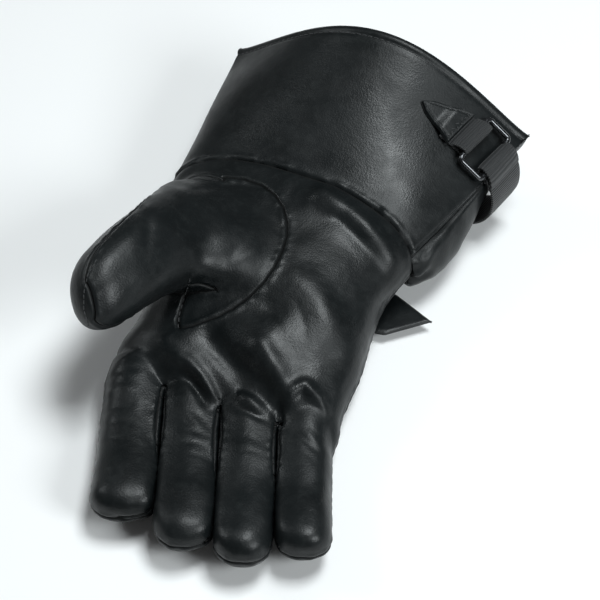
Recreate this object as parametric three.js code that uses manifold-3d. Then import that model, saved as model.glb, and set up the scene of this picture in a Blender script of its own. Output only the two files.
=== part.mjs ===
// A right-hand leather gauntlet glove, lying on its back with the palm up.
// X runs from the thumb side to the little finger, Y from the fingertips to the cuff, Z is up.
// While it is built, x = 0 and y = 0 lie where the fingers divide and z = 0 is the table.
import * as THREE from "three";
import { mergeVertices } from "three/addons/utils/BufferGeometryUtils.js";
import Module from "manifold-3d";

const wasm = await Module();
wasm.setup();

// Leather and sewing, in millimetres.
const LEATHER = 1.8; // wall of every leather panel
const SEAM = 0.5; // open width of a sewn seam
const REST = 0.3; // gap between a piece and what it lies on

// Hand, in millimetres. The palm runs from the wrist seam to where the fingers divide.
const PALM_LENGTH = 110;
const PALM_WIDTH = 112;
const PALM_HEIGHT = 50;
const WRIST_BOW = 15; // how far the wrist seam bows towards the cuff over the palm
const FINGER_LENGTH = 78;
const FINGER_WIDTH = 26;
const FINGER_THICKNESS = 26;
const FINGER_LIFT = 5; // how far the fingertips curl up off the table
const FOURCHETTE_WIDTH = 12; // side strip between two fingers

// Thumb, in millimetres and degrees: its axis leaves a root inside the palm.
const THUMB_LENGTH = 96;
const THUMB_WIDTH = 52; // at its middle
const THUMB_THICKNESS = 34;
const THUMB_ROOT = new THREE.Vector3(-12, 77, 40);
const THUMB_YAW = 37; // towards the thumb side
const THUMB_RISE = 20; // above the table

// Cuff, in millimetres, from the wrist seam to the rim.
const CUFF_LENGTH = 93;
const CUFF_WIDTH = 164; // at the rim
const CUFF_HEIGHT = 92; // at the rim
const CUFF_DRIFT = 26; // how far the rim's middle lies to the little-finger side of the wrist
const RIM_LEAN = 6; // how far the rim's top leans towards the fingers
const RIM_BELL = 1.3; // how peaked the rim is over the palm; 0.5 is an ellipse

// Straps and buckle, in millimetres.
const TAB_LENGTH = 21;
const WEBBING_WIDTH = 22;
const WEBBING = 1.5; // its thickness
const BUCKLE_SPARE = 2; // from the webbing's edge to the rod on each side
const BUCKLE_LENGTH = 18;
const BUCKLE_ROD = 3;
const BUCKLE_ANGLE = 32; // degrees round the cuff from the little-finger side over the palm
const BUCKLE_SHARE = 0.715; // of the way from the wrist to the rim
const WRIST_STRAP_WIDTH = 27;
const WRIST_STRAP_LENGTH = 118;
const WRIST_STRAP_POINT = 21; // length of its pointed end
const WRIST_STRAP = 2.2; // its thickness

// Facets.
const SQUARE = 2.4; // how square the rounded sections are; 2 is an ellipse
const HAND_SIDES = 24;
const FINGER_SIDES = 12;
const THUMB_SIDES = 14;

// A table from its column names and rows.
function table(columns, rows) {
  const names = columns.split(" ");
  return rows.map((row) => Object.fromEntries(names.map((name, i) => [name, row[i]])));
}

// Sections of the hand from the wrist seam (at 0) to where the fingers divide (at 1). side and width are
// shares of PALM_WIDTH; seam (height of the side seam), top and back are shares of PALM_HEIGHT; turn is in
// degrees.
const HAND = table("at side width seam top back turn", [
  [0, 0.05, 1.17, 0.64, 0.46, 0.5, -10],
  [0.07, 0.04, 1.13, 0.6, 0.52, 0.48, -10],
  [0.2, 0.03, 1.05, 0.52, 0.56, 0.44, -10],
  [0.35, 0.03, 1.01, 0.45, 0.58, 0.38, -9],
  [0.55, 0.035, 0.989, 0.38, 0.56, 0.38, -9],
  [0.72, 0.01, 0.995, 0.34, 0.5, 0.36, -8],
  [0.84, -0.01, 1.015, 0.32, 0.41, 0.33, -8],
  [0.92, -0.002, 1.015, 0.29, 0.31, 0.3, -8],
  [0.99, -0.005, 1, 0.27, 0.2, 0.25, -8],
]);

// Folds pressed into or raised from the palm: each runs from one point to another, x as a share of
// PALM_WIDTH and y of PALM_LENGTH; width and height are shares of LEATHER.
const FOLDS = table("from_x from_y to_x to_y width height", [
  [0.2, 1.03, 0.56, 0.84, 3.2, 2.2],
  [0.3, 0.93, 0.53, 0.78, 2.2, -1.3],
  [-0.26, 0.33, 0.1, 0.42, 4, -1.5],
  [-0.22, 0.24, 0.18, 0.3, 3.5, 1.2],
  [-0.3, 0.2, -0.1, 0.02, 3, 1.5],
  [-0.1, 0.26, 0.12, 0.06, 3, -1.3],
  [0.12, 0.24, 0.3, 0.03, 3, 1.3],
  [0.1, 0.62, 0.46, 0.4, 5, 1],
]);

// Fingers: root_x and root_y are shares of PALM_WIDTH, length of FINGER_LENGTH, width of FINGER_WIDTH, and
// yaw is in degrees.
const FINGERS = table("name root_x root_y length width yaw", [
  ["index", -0.385, 0.035, 0.91, 1.1, 12],
  ["middle", -0.127, 0.025, 1.01, 0.99, 12.5],
  ["ring", 0.128, -0.015, 0.97, 0.99, 12.5],
  ["little", 0.366, -0.01, 0.845, 0.97, 13],
]);

// A finger from inside the palm to where its tip rounds off. width is a share of the finger's own, top and
// back (above and below its side seam) of half FINGER_THICKNESS, lift of FINGER_LIFT.
const FINGER = table("at width top back lift", [
  [-0.24, 0.9, 1.2, 0.6, 0],
  [-0.08, 1, 1.26, 0.86, 0],
  [0.08, 1, 1.14, 1, 0],
  [0.3, 1, 1.04, 1.04, 0],
  [0.5, 0.98, 0.98, 0.98, 0.1],
  [0.7, 1, 0.97, 0.97, 0.4],
  [0.88, 0.99, 0.9, 0.9, 0.85],
]);
const FINGER_SEAM = 0.5; // height of the side seam, as a share of FINGER_THICKNESS

// The thumb from its root to where its tip rounds off. width and side (a shift of the axis across its face)
// are shares of THUMB_WIDTH, thickness of THUMB_THICKNESS, split (how far the seam lies towards the face) of
// half that; roll is in degrees, from level.
const THUMB = table("at width thickness side roll split", [
  [-0.42, 0.5, 0.7, 0.24, 0, 0.15],
  [-0.27, 1.2, 1.05, 0.24, 0, 0.15],
  [-0.1, 1.52, 1.2, 0.22, 3, 0.15],
  [0.08, 1.54, 1.16, 0.21, 9, 0.15],
  [0.2, 1.24, 1.1, 0.28, 16, 0.15],
  [0.32, 0.97, 1.02, 0.325, 23, 0.16],
  [0.5, 0.83, 0.97, 0.275, 36, 0.18],
  [0.7, 0.77, 0.9, 0.175, 44, 0.24],
  [0.86, 0.71, 0.8, 0.075, 46, 0.3],
]);

// The gusset from the wrist (at 0) to the rim (1): how far it is pushed out along its middle, as a share of
// CUFF_WIDTH.
const GUSSET = table("at push", [
  [0, 0.012],
  [0.12, 0.05],
  [0.3, 0.055],
  [0.48, 0.02],
  [0.65, -0.03],
  [1, -0.05],
]);

// The cuff strap beyond the buckle: degrees round the cuff, and height above the leather as a share of
// WEBBING.
const STRAP_SWING = table("degrees height", [
  [14, 1],
  [6, 1.4],
  [-2, 2.6],
  [-10, 4],
  [-18, 4.6],
  [-27, 4],
  [-36, 2],
  [-44, 0.6],
  [-52, 0.2],
]);

// Edges of the cuff's panels from the wrist (at 0) to the rim (1), in degrees round it from the
// little-finger side over the palm: the palm panel from palm to thumb, the back panel from thumb to back,
// the gusset from back to fold.
const EDGES = table("at palm thumb back fold", [
  [0, 9, 186, 318, 366],
  [0.2, 6, 186, 318, 362],
  [0.5, 3, 186, 318, 359],
  [1, 2, 186, 318, 357],
]);

const radians = THREE.MathUtils.degToRad;
const mix = THREE.MathUtils.lerp;

// One column of a table at a share of its length, on a smooth curve through the rows.
function along(rows, column, at) {
  let i = 0;
  while (i < rows.length - 2 && at > rows[i + 1].at) i++;
  const [p, q] = [rows[i], rows[i + 1]];
  const step = q.at - p.at;
  const t = (at - p.at) / step;
  const slope = (k) => {
    const before = rows[Math.max(k - 1, 0)];
    const after = rows[Math.min(k + 1, rows.length - 1)];
    return ((after[column] - before[column]) / (after.at - before.at)) * step;
  };
  const square = t * t;
  const cube = square * t;
  return (
    (2 * cube - 3 * square + 1) * p[column] +
    (cube - 2 * square + t) * slope(i) +
    (3 * square - 2 * cube) * q[column] +
    (cube - square) * slope(i + 1)
  );
}

// The two shares, across and up, of a rounded section at an angle.
function rounded(angle) {
  const [c, s] = [Math.cos(angle), Math.sin(angle)];
  return [Math.sign(c) * Math.abs(c) ** (2 / SQUARE), Math.sign(s) * Math.abs(s) ** (2 / SQUARE)];
}

// A ring of points from a function of the angle.
function ringOf(sides, point) {
  return Array.from({ length: sides }, (_, i) => point((2 * Math.PI * i) / sides));
}

// Points and triangles as a geometry whose faces point out.
function facingOut(points, index) {
  let volume = 0;
  for (let i = 0; i < index.length; i += 3) {
    const [a, b, c] = [points[index[i]], points[index[i + 1]], points[index[i + 2]]];
    volume += a.dot(new THREE.Vector3().crossVectors(b, c));
  }
  if (volume < 0) index.reverse();
  return new THREE.BufferGeometry().setFromPoints(points).setIndex(index);
}

// Rings of points joined into one closed geometry: as a loop, or with a fan at each end.
function loft(rings, looped = false) {
  const sides = rings[0].length;
  const points = rings.flat();
  const index = [];
  for (let i = 0; i < rings.length - (looped ? 0 : 1); i++)
    for (let j = 0; j < sides; j++) {
      const [a, b] = [i * sides + j, i * sides + ((j + 1) % sides)];
      const [c, d] = [a, b].map((k) => (k + sides) % (rings.length * sides));
      index.push(a, b, d, a, d, c);
    }
  if (looped) return facingOut(points, index);
  for (const [i, turned] of [
    [0, true],
    [rings.length - 1, false],
  ]) {
    const middle = new THREE.Vector3();
    rings[i].forEach((p) => middle.addScaledVector(p, 1 / sides));
    const centre = points.push(middle) - 1;
    for (let j = 0; j < sides; j++) {
      const edge = [i * sides + j, i * sides + ((j + 1) % sides)];
      index.push(centre, ...(turned ? edge.reverse() : edge));
    }
  }
  return facingOut(points, index);
}

// A wall between two grids of points, closed round its four edges.
function wall(outer, inner) {
  const [rows, columns] = [outer.length, outer[0].length];
  const points = [...outer.flat(), ...inner.flat()];
  const skin = rows * columns;
  const index = [];
  const quad = (a, b, c, d) => index.push(a, b, c, a, c, d);
  for (let i = 0; i < rows - 1; i++)
    for (let j = 0; j < columns - 1; j++) {
      const a = i * columns + j;
      quad(a, a + 1, a + columns + 1, a + columns);
      quad(a + skin + columns, a + skin + columns + 1, a + skin + 1, a + skin);
    }
  const edge = [];
  for (let j = 0; j < columns - 1; j++) edge.push(j);
  for (let i = 0; i < rows - 1; i++) edge.push(i * columns + columns - 1);
  for (let j = columns - 1; j > 0; j--) edge.push((rows - 1) * columns + j);
  for (let i = rows - 1; i > 0; i--) edge.push(i * columns);
  edge.forEach((a, k) => {
    const b = edge[(k + 1) % edge.length];
    quad(b, a, a + skin, b + skin);
  });
  return facingOut(points, index);
}

// A geometry as a solid that can be cut and joined.
function solid(geometry) {
  const merged = mergeVertices(geometry, 1e-4);
  return new wasm.Manifold(
    new wasm.Mesh({
      numProp: 3,
      vertProperties: new Float32Array(merged.attributes.position.array),
      triVerts: new Uint32Array(merged.index.array),
    }),
  );
}

// A solid as a geometry; cutting can leave slivers, so its largest body is kept.
function geometryOf(made) {
  const body = made.decompose().reduce((a, b) => (a.volume() > b.volume() ? a : b));
  const { vertProperties, triVerts } = body.getMesh();
  return new THREE.BufferGeometry()
    .setAttribute("position", new THREE.BufferAttribute(new Float32Array(vertProperties), 3))
    .setIndex(new THREE.BufferAttribute(new Uint32Array(triVerts), 1));
}

// How far the folds raise the palm at a point.
function foldHeight(x, y) {
  let height = 0;
  for (const fold of FOLDS) {
    const from = new THREE.Vector2(fold.from_x * PALM_WIDTH, fold.from_y * PALM_LENGTH);
    const line = new THREE.Vector2(fold.to_x * PALM_WIDTH, fold.to_y * PALM_LENGTH).sub(from);
    const point = new THREE.Vector2(x, y).sub(from);
    const t = THREE.MathUtils.clamp(point.dot(line) / line.lengthSq(), 0, 1);
    const away = point.distanceTo(line.multiplyScalar(t)) / (fold.width * LEATHER);
    height += fold.height * LEATHER * Math.exp(-away * away);
  }
  return height;
}

// A point of the hand's skin, drawn in from the outside by inset.
function handPoint(at, angle, inset) {
  const value = (column) => along(HAND, column, at);
  const turn = radians(value("turn"));
  const [u, v] = rounded(angle);
  const over = Math.max(0, v);
  const across = u * ((value("width") * PALM_WIDTH) / 2 - inset);
  const up = v * ((v > 0 ? value("top") : value("back")) * PALM_HEIGHT - inset);
  const bow = WRIST_BOW * over ** 1.5 * Math.max(0, 1 - at / 0.3);
  const point = new THREE.Vector3(
    value("side") * PALM_WIDTH + across * Math.cos(turn),
    PALM_LENGTH * (1 - at) + across * Math.sin(turn) + bow,
    Math.max(value("seam") * PALM_HEIGHT + up, inset),
  );
  point.z += over ** 1.5 * foldHeight(point.x, point.y);
  return point;
}

// The hand without its fingers: the outside with inset 0, its hollow with inset LEATHER.
function handForm(inset) {
  const stations = [0, 0.04, 0.1, 0.2, 0.32, 0.45, 0.58, 0.7, 0.8, 0.87, 0.93, 0.99];
  const rings = stations.map((at) => ringOf(HAND_SIDES, (angle) => handPoint(at, angle, inset)));
  if (inset > 0) {
    rings.unshift(rings[0].map((p) => p.clone().setY(p.y + 4 * inset)));
    rings[rings.length - 1].forEach((p) => (p.y += inset));
  }
  return solid(loft(rings));
}

// A point along a finger's middle, with a shift to its little-finger side.
function fingerFoot(finger, at, side = 0) {
  const yaw = radians(finger.yaw);
  const reach = at * finger.length * FINGER_LENGTH;
  return new THREE.Vector3(
    finger.root_x * PALM_WIDTH + Math.sin(yaw) * reach + Math.cos(yaw) * side,
    finger.root_y * PALM_WIDTH - Math.cos(yaw) * reach + Math.sin(yaw) * side,
    FINGER_SEAM * FINGER_THICKNESS + along(FINGER, "lift", at) * FINGER_LIFT,
  );
}

// Stations along a tube with a blunt end, each with how far the end has closed it.
function bluntStations(rows, first, end) {
  const round = rows[rows.length - 1].at;
  const stations = first.map((at) => [at, 1]);
  for (const share of [0, 0.45, 0.8, 0.97])
    stations.push([mix(round, end, share), (1 - share ** 2.6) ** (1 / 2.6)]);
  return stations;
}

function fingerForm(finger, inset) {
  const end = 1 - inset / (finger.length * FINGER_LENGTH);
  const rings = bluntStations(FINGER, [-0.24, -0.08, 0.08, 0.25, 0.45, 0.7], end).map(([at, close]) => {
    const halfWidth = ((along(FINGER, "width", at) * finger.width * FINGER_WIDTH) / 2 - inset) * close;
    const height = (column) => ((along(FINGER, column, at) * FINGER_THICKNESS) / 2 - inset) * close;
    const [top, back] = [height("top"), height("back")];
    return ringOf(FINGER_SIDES, (angle) => {
      const [u, v] = rounded(angle);
      const point = fingerFoot(finger, at, u * halfWidth);
      return point.setZ(Math.max(point.z + v * (v > 0 ? top : back), inset));
    });
  });
  return solid(loft(rings));
}

// The thumb's axis, and at a share of its length the directions across its face and out of its face.
const THUMB_HEADING = new THREE.Vector3(0, -1, 0)
  .applyAxisAngle(new THREE.Vector3(1, 0, 0), -radians(THUMB_RISE))
  .applyAxisAngle(new THREE.Vector3(0, 0, 1), -radians(THUMB_YAW));
function thumbAxes(at) {
  const across = new THREE.Vector3().crossVectors(THUMB_HEADING, new THREE.Vector3(0, 0, 1)).normalize();
  across.applyAxisAngle(THUMB_HEADING, -radians(along(THUMB, "roll", at)));
  const face = new THREE.Vector3().crossVectors(across, THUMB_HEADING);
  const middle = THUMB_ROOT.clone()
    .addScaledVector(THUMB_HEADING, at * THUMB_LENGTH)
    .addScaledVector(across, along(THUMB, "side", at) * THUMB_WIDTH);
  return (side, up) => middle.clone().addScaledVector(across, side).addScaledVector(face, up);
}

function thumbForm(inset) {
  const end = 1 - inset / THUMB_LENGTH;
  const first = [-0.42, -0.36, -0.27, -0.15, 0, 0.12, 0.24, 0.37, 0.5, 0.62, 0.75];
  const rings = bluntStations(THUMB, first, end).map(([at, close]) => {
    const halfWidth = ((along(THUMB, "width", at) * THUMB_WIDTH) / 2 - inset) * close;
    const halfHeight = ((along(THUMB, "thickness", at) * THUMB_THICKNESS) / 2 - inset) * close;
    const place = thumbAxes(at);
    return ringOf(THUMB_SIDES, (angle) => {
      const [u, v] = rounded(angle);
      const point = place(u * halfWidth, v * halfHeight);
      return point.setZ(Math.max(point.z, inset));
    });
  });
  return solid(loft(rings));
}

// The space on the face side of the thumb's seam, up to where the seam turns at its tip.
function thumbFaceSide(shift) {
  const end = 0.965 - shift / THUMB_LENGTH;
  const rings = [-0.45, -0.25, -0.1, 0.05, 0.2, 0.35, 0.5, 0.65, 0.78, 0.86, end].map((at) => {
    const place = thumbAxes(Math.max(at, THUMB[0].at));
    const seam = (along(THUMB, "split", Math.max(at, THUMB[0].at)) * THUMB_THICKNESS) / 2 + shift;
    const step = (at - Math.max(at, THUMB[0].at)) * THUMB_LENGTH;
    const edge = [-1, -0.8, -0.6, -0.3, 0, 0.3, 0.6, 0.8, 1].map((share) => place(share * THUMB_WIDTH, seam));
    const far = [1, -1].map((share) => place(share * THUMB_WIDTH, THUMB_WIDTH));
    return [...edge, ...far].map((p) => p.addScaledVector(THUMB_HEADING, step));
  });
  return solid(loft(rings));
}

// A slab over the whole hand between two heights, each a function of y.
function slab(low, high) {
  const far = 2 * (PALM_WIDTH + CUFF_WIDTH);
  const stations = [PALM_LENGTH + 2 * WRIST_BOW];
  for (const share of [1, 0.8, 0.6, 0.35, 0]) stations.push(share * PALM_LENGTH);
  for (const share of [0.3, 0.6, 0.8, 1, 1.3]) stations.push(-share * FINGER_LENGTH);
  return solid(
    loft(
      stations.map((y) => [
        new THREE.Vector3(-far, y, low(y)),
        new THREE.Vector3(far, y, low(y)),
        new THREE.Vector3(far, y, high(y)),
        new THREE.Vector3(-far, y, high(y)),
      ]),
    ),
  );
}

// Height of the side seam of hand and fingers at a distance y from where the fingers divide.
function seamHeight(y) {
  if (y > 0) return along(HAND, "seam", Math.max(0, 1 - y / PALM_LENGTH)) * PALM_HEIGHT;
  const at = Math.min(1, -y / FINGER_LENGTH);
  const finger = FINGER_SEAM * FINGER_THICKNESS + along(FINGER, "lift", at) * FINGER_LIFT;
  return mix(HAND[HAND.length - 1].seam * PALM_HEIGHT, finger, Math.min(1, at / 0.3));
}

// The space of a side strip: between two fingers' middles, tapering to their tips; grown all round by spare.
function fourchetteSpace(left, right, spare) {
  const rings = [-0.16, -0.02, 0.2, 0.4, 0.6, 0.8, 0.9].map((share) => {
    const half = (FOURCHETTE_WIDTH / 2) * Math.min(1, 1.25 - 1.2 * share) + spare;
    const grown = share + Math.sign(share - 0.5) * (Math.abs(share - 0.5) > 0.35 ? spare / FINGER_LENGTH : 0);
    const [a, b] = [fingerFoot(left, grown, -spare), fingerFoot(right, grown, spare)];
    return [
      a.clone().setZ(a.z - half),
      b.clone().setZ(b.z - half),
      b.clone().setZ(b.z + half),
      a.clone().setZ(a.z + half),
    ];
  });
  return solid(loft(rings));
}

// A point of the cuff's outside without its gusset: angle round it from the little-finger side over the
// palm, and share of the way from the wrist to the rim.
function cuffBase(angle, share) {
  const wrist = HAND[0];
  const [u, v] = rounded(angle);
  const open = share ** 1.1;
  const halfWidth = mix((wrist.width * PALM_WIDTH) / 2, CUFF_WIDTH / 2, open);
  const seam = mix(wrist.seam * PALM_HEIGHT, CUFF_HEIGHT / 2, share);
  const over = v > 0 ? mix(v, (1 - u * u) ** RIM_BELL, share ** 0.8) : 0;
  const top = over * mix(wrist.top * PALM_HEIGHT, CUFF_HEIGHT / 2, share);
  const under = Math.min(0, v) * mix(wrist.back * PALM_HEIGHT, CUFF_HEIGHT / 2 + LEATHER, share ** 0.6);
  const turn = radians(wrist.turn);
  const bow = WRIST_BOW * Math.max(0, v) ** 1.5 * (1 - share);
  return new THREE.Vector3(
    wrist.side * PALM_WIDTH + CUFF_DRIFT * share + u * halfWidth * Math.cos(turn),
    PALM_LENGTH + CUFF_LENGTH * share + u * halfWidth * Math.sin(turn) + bow - RIM_LEAN * share * over,
    Math.max(seam + top + under, 0),
  );
}

// The same point moved along the surface's outward direction.
function cuffPoint(angle, share, out, push = () => 0) {
  const surface = (a, s) => {
    const point = cuffBase(a, s);
    return point.addScaledVector(direction(a, s, cuffBase), push(a, s));
  };
  return surface(angle, share).addScaledVector(direction(angle, share, surface), out);
}

function direction(angle, share, surface) {
  const step = 0.004;
  const [near, far] = [Math.max(0, share - step), Math.min(1, share + step)];
  const round = surface(angle + step, share).sub(surface(angle - step, share));
  const out = surface(angle, far).sub(surface(angle, near));
  return out.cross(round).normalize();
}

// A cuff panel between two edges; the second is held back by the width of a seam.
const SEAM_DEGREES = (360 * SEAM) / (Math.PI * PALM_HEIGHT);
function cuffPanel(first, second, sides, rows, push) {
  const start = SEAM / CUFF_LENGTH;
  const grid = (out) =>
    Array.from({ length: rows + 1 }, (_, i) => {
      const share = mix(start, 1, i / rows);
      const [from, to] = [along(EDGES, first, share), along(EDGES, second, share) - SEAM_DEGREES];
      return Array.from({ length: sides + 1 }, (_, j) =>
        cuffPoint(radians(mix(from, to, j / sides)), share, out, push),
      );
    });
  return wall(grid(0), grid(-LEATHER));
}

const leather = new THREE.MeshStandardMaterial({ color: 0x14171a, roughness: 0.5, metalness: 0 });
const webbing = new THREE.MeshStandardMaterial({ color: 0x0c0d0f, roughness: 0.8, metalness: 0 });
const steel = new THREE.MeshStandardMaterial({ color: 0x2b2d30, roughness: 0.3, metalness: 0.9 });
const glove = new THREE.Group();
function add(name, geometry, material) {
  const mesh = new THREE.Mesh(geometry, material.clone());
  mesh.name = name;
  glove.add(mesh);
}

// The hand: one shell, cut along its seams.
const join = (inset) =>
  FINGERS.reduce((form, f) => form.add(fingerForm(f, inset)), handForm(inset).add(thumbForm(inset)));
const shell = join(0).subtract(join(LEATHER));
const high = PALM_HEIGHT + THUMB_LENGTH;
const above = slab((y) => seamHeight(y) + SEAM / 2, () => high);
const below = slab(() => -high, (y) => seamHeight(y) - SEAM / 2);
const thumbRoom = thumbForm(-SEAM);
const strips = FINGERS.slice(1).map((right, i) => fourchetteSpace(FINGERS[i], right, SEAM));
const hand = strips.reduce((form, strip) => form.subtract(strip), shell.subtract(thumbRoom));
add("palm_panel", geometryOf(hand.intersect(above)), leather);
add("back_panel", geometryOf(hand.intersect(below)), leather);
FINGERS.slice(1).forEach((right, i) => {
  const strip = shell.intersect(fourchetteSpace(FINGERS[i], right, 0));
  add(`fourchette_${FINGERS[i].name}_${right.name}`, geometryOf(strip), leather);
});
const thumb = shell.intersect(thumbForm(-SEAM / 8));
add("thumb_front", geometryOf(thumb.intersect(thumbFaceSide(SEAM / 2))), leather);
add("thumb_back", geometryOf(thumb.subtract(thumbFaceSide(-SEAM / 2))), leather);

// The cuff: two panels and a rolled gusset.
add("cuff_palm_panel", cuffPanel("palm", "thumb", 18, 8), leather);
add("cuff_back_panel", cuffPanel("thumb", "back", 14, 7), leather);
const gussetPush = (angle, share) => {
  const [from, to] = [along(EDGES, "back", share), along(EDGES, "fold", share) - SEAM_DEGREES];
  const t = THREE.MathUtils.clamp((THREE.MathUtils.radToDeg(angle) - from) / (to - from), 0, 1);
  return along(GUSSET, "push", share) * CUFF_WIDTH * Math.sin(Math.PI * t);
};
add("cuff_gusset", cuffPanel("back", "fold", 10, 10, gussetPush), leather);

// Places on the cuff's outside: reach in millimetres round it from the buckle towards the little-finger
// side, side in millimetres towards the rim, and height above the leather.
const reaches = [];
for (let degrees = 90, reach = 0, last = null; degrees >= -60; degrees -= 1) {
  const point = cuffBase(radians(degrees), BUCKLE_SHARE);
  if (last) reach += point.distanceTo(last);
  reaches.push({ degrees, reach });
  last = point;
}
const buckleReach = reaches.find((row) => row.degrees <= BUCKLE_ANGLE).reach;
const reachAt = (degrees) => reaches.find((row) => row.degrees <= degrees).reach - buckleReach;
function onCuff(reach, side, height) {
  let i = 1;
  while (i < reaches.length - 1 && reaches[i].reach - buckleReach < reach) i++;
  const [p, q] = [reaches[i - 1], reaches[i]];
  const degrees = mix(p.degrees, q.degrees, (reach + buckleReach - p.reach) / (q.reach - p.reach));
  return cuffPoint(radians(degrees), BUCKLE_SHARE + side / CUFF_LENGTH, height);
}

// A flat band that follows a path of [reach, height] points along its middle.
function band(path, width, thickness) {
  const sides = (i, offset) => {
    const [before, after] = [path[Math.max(i - 1, 0)], path[Math.min(i + 1, path.length - 1)]];
    const along = new THREE.Vector2(after[0] - before[0], after[1] - before[1]).normalize();
    return [-0.5, 0, 0.5].map((share) =>
      onCuff(path[i][0] - along.y * offset, share * width, path[i][1] + along.x * offset),
    );
  };
  const grid = (offset) => path.map((_, i) => sides(i, offset));
  return wall(grid(thickness / 2), grid(-thickness / 2));
}

// The tab: a rounded triangle sewn on the cuff, its wide end lifted over the webbing.
const tabEdge = -BUCKLE_LENGTH / 2 - 2 * BUCKLE_ROD;
const tabRows = [0, 0.03, 0.1, 0.25, 0.45, 0.65, 0.82, 1].map((share) => {
  const round = Math.min(1, (share + 0.02) / 0.12) ** 0.5;
  const half = (WEBBING_WIDTH / 2 + LEATHER) * (0.12 + 0.88 * share) * round;
  const lift = REST + (WEBBING + 2 * REST) * THREE.MathUtils.smoothstep(share, 0.45, 0.7);
  return [share, half, lift];
});
const tabGrid = (height) =>
  tabRows.map(([share, half, lift]) =>
    [-1, -0.5, 0, 0.5, 1].map((side) =>
      onCuff(tabEdge - TAB_LENGTH * (1 - share), side * half, lift + height),
    ),
  );
add("strap_tab", wall(tabGrid(LEATHER), tabGrid(0)), leather);

// The buckle: a rounded rectangle of rod, held in a fold of webbing on each long side.
const low = 2 * REST + WEBBING / 2;
const rodHeight = 3 * REST + WEBBING + BUCKLE_ROD / 2;
const fold = BUCKLE_ROD / 2 + REST + WEBBING / 2;
const rodReach = (BUCKLE_LENGTH - BUCKLE_ROD) / 2;
const foldRound = (reach, toward) =>
  [-90, -60, -30, 0, 30, 60, 90].map((degrees) => [
    reach + toward * fold * Math.cos(radians(degrees)),
    rodHeight + fold * Math.sin(radians(degrees)),
  ]);
const loopPath = [
  [tabEdge - TAB_LENGTH * 0.25, low],
  [tabEdge, low],
  ...foldRound(-rodReach, 1),
  [-rodReach - fold, rodHeight + 0.8 * fold],
  [tabEdge + LEATHER, low + WEBBING + 2 * REST],
];
add("buckle_loop", band(loopPath, WEBBING_WIDTH, WEBBING), webbing);

const ringCorner = BUCKLE_SPARE + BUCKLE_ROD / 3;
const ringPath = [];
for (const [x, y] of [
  [1, 1],
  [-1, 1],
  [-1, -1],
  [1, -1],
])
  for (const turn of x * y > 0 ? [0, 30, 60, 90] : [90, 60, 30, 0]) {
    const [halfReach, halfSide] = [rodReach, WEBBING_WIDTH / 2 + BUCKLE_SPARE + BUCKLE_ROD / 2];
    ringPath.push([
      x * (halfReach - ringCorner * (1 - Math.cos(radians(turn)))),
      y * (halfSide - ringCorner * (1 - Math.sin(radians(turn)))),
    ]);
  }
const ringRings = ringPath.map(([reach, side], i) => {
  const [before, after] = [ringPath.at(i - 1), ringPath[(i + 1) % ringPath.length]];
  const along = new THREE.Vector2(after[0] - before[0], after[1] - before[1]).normalize();
  return ringOf(6, (angle) => {
    const [out, up] = [(Math.cos(angle) * BUCKLE_ROD) / 2, (Math.sin(angle) * BUCKLE_ROD) / 2];
    return onCuff(reach + along.y * out, side - along.x * out, rodHeight + up);
  });
});
add("slide_buckle", loft(ringRings, true), steel);

// The strap: folded round the buckle, over the cuff's edge and round its side to the back.
const strapPath = [
  [rodReach + 2.2 * fold, low],
  [rodReach + 1.2 * fold, low],
  ...foldRound(rodReach, -1),
  [rodReach + 1.4 * fold, rodHeight + 0.9 * fold],
  [rodReach + 3 * fold, low + WEBBING + 2 * REST],
  ...STRAP_SWING.map(({ degrees, height }) => [reachAt(degrees), low + height * WEBBING]),
];
add("cuff_strap", band(strapPath, WEBBING_WIDTH, WEBBING), webbing);

// The wrist strap: it lies under the back of the hand, and its point sticks out past the little-finger side.
function underHand(x, y) {
  const at = THREE.MathUtils.clamp(1 - y / PALM_LENGTH, 0, 1);
  const turn = radians(along(HAND, "turn", at));
  const across = (x - along(HAND, "side", at) * PALM_WIDTH) / Math.cos(turn);
  const station = THREE.MathUtils.clamp(1 - (y - across * Math.sin(turn)) / PALM_LENGTH, 0, 1);
  const u = Math.min(1, Math.abs(across) / ((along(HAND, "width", station) * PALM_WIDTH) / 2));
  const drop = along(HAND, "back", station) * (1 - u ** SQUARE) ** (1 / SQUARE);
  return (along(HAND, "seam", station) - drop) * PALM_HEIGHT;
}
const strapTip = new THREE.Vector3(0.745 * PALM_WIDTH, 0.8 * PALM_LENGTH, 0.15 * PALM_HEIGHT);
const strapRows = [0, 0.2, 0.4, 0.5, 0.6, 0.7, 0.76, 1 - WRIST_STRAP_POINT / WRIST_STRAP_LENGTH, 0.92, 1];
const wristStrapGrid = (drop) =>
  strapRows.map((share) => {
    const back = (1 - share) * WRIST_STRAP_LENGTH;
    const half = (WRIST_STRAP_WIDTH / 2) * THREE.MathUtils.clamp(back / WRIST_STRAP_POINT, 0.04, 1);
    return [-1, -0.5, 0, 0.5, 1].map((side) => {
      const [x, y] = [strapTip.x - back, strapTip.y + side * half];
      const free = strapTip.z - 0.02 * back;
      const top = Math.max(WRIST_STRAP + REST, Math.min(underHand(x, y) - REST, free));
      return new THREE.Vector3(x, y, top - drop);
    });
  });
add("wrist_strap", wall(wristStrapGrid(0), wristStrapGrid(WRIST_STRAP)), leather);

// The glove's frame: the middle of its box on the table.
const box = new THREE.Box3().setFromObject(glove);
const middle = box.getCenter(new THREE.Vector3());
for (const mesh of glove.children) mesh.geometry.translate(-middle.x, -middle.y, -box.min.z);

export default glove;
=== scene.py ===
"""A black leather gauntlet glove for the right hand, lying on its back with the palm up."""
import math

import bmesh
import bpy
import numpy as np
from mathutils import Matrix, Vector
from mathutils.bvhtree import BVHTree
from mathutils.kdtree import KDTree


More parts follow.
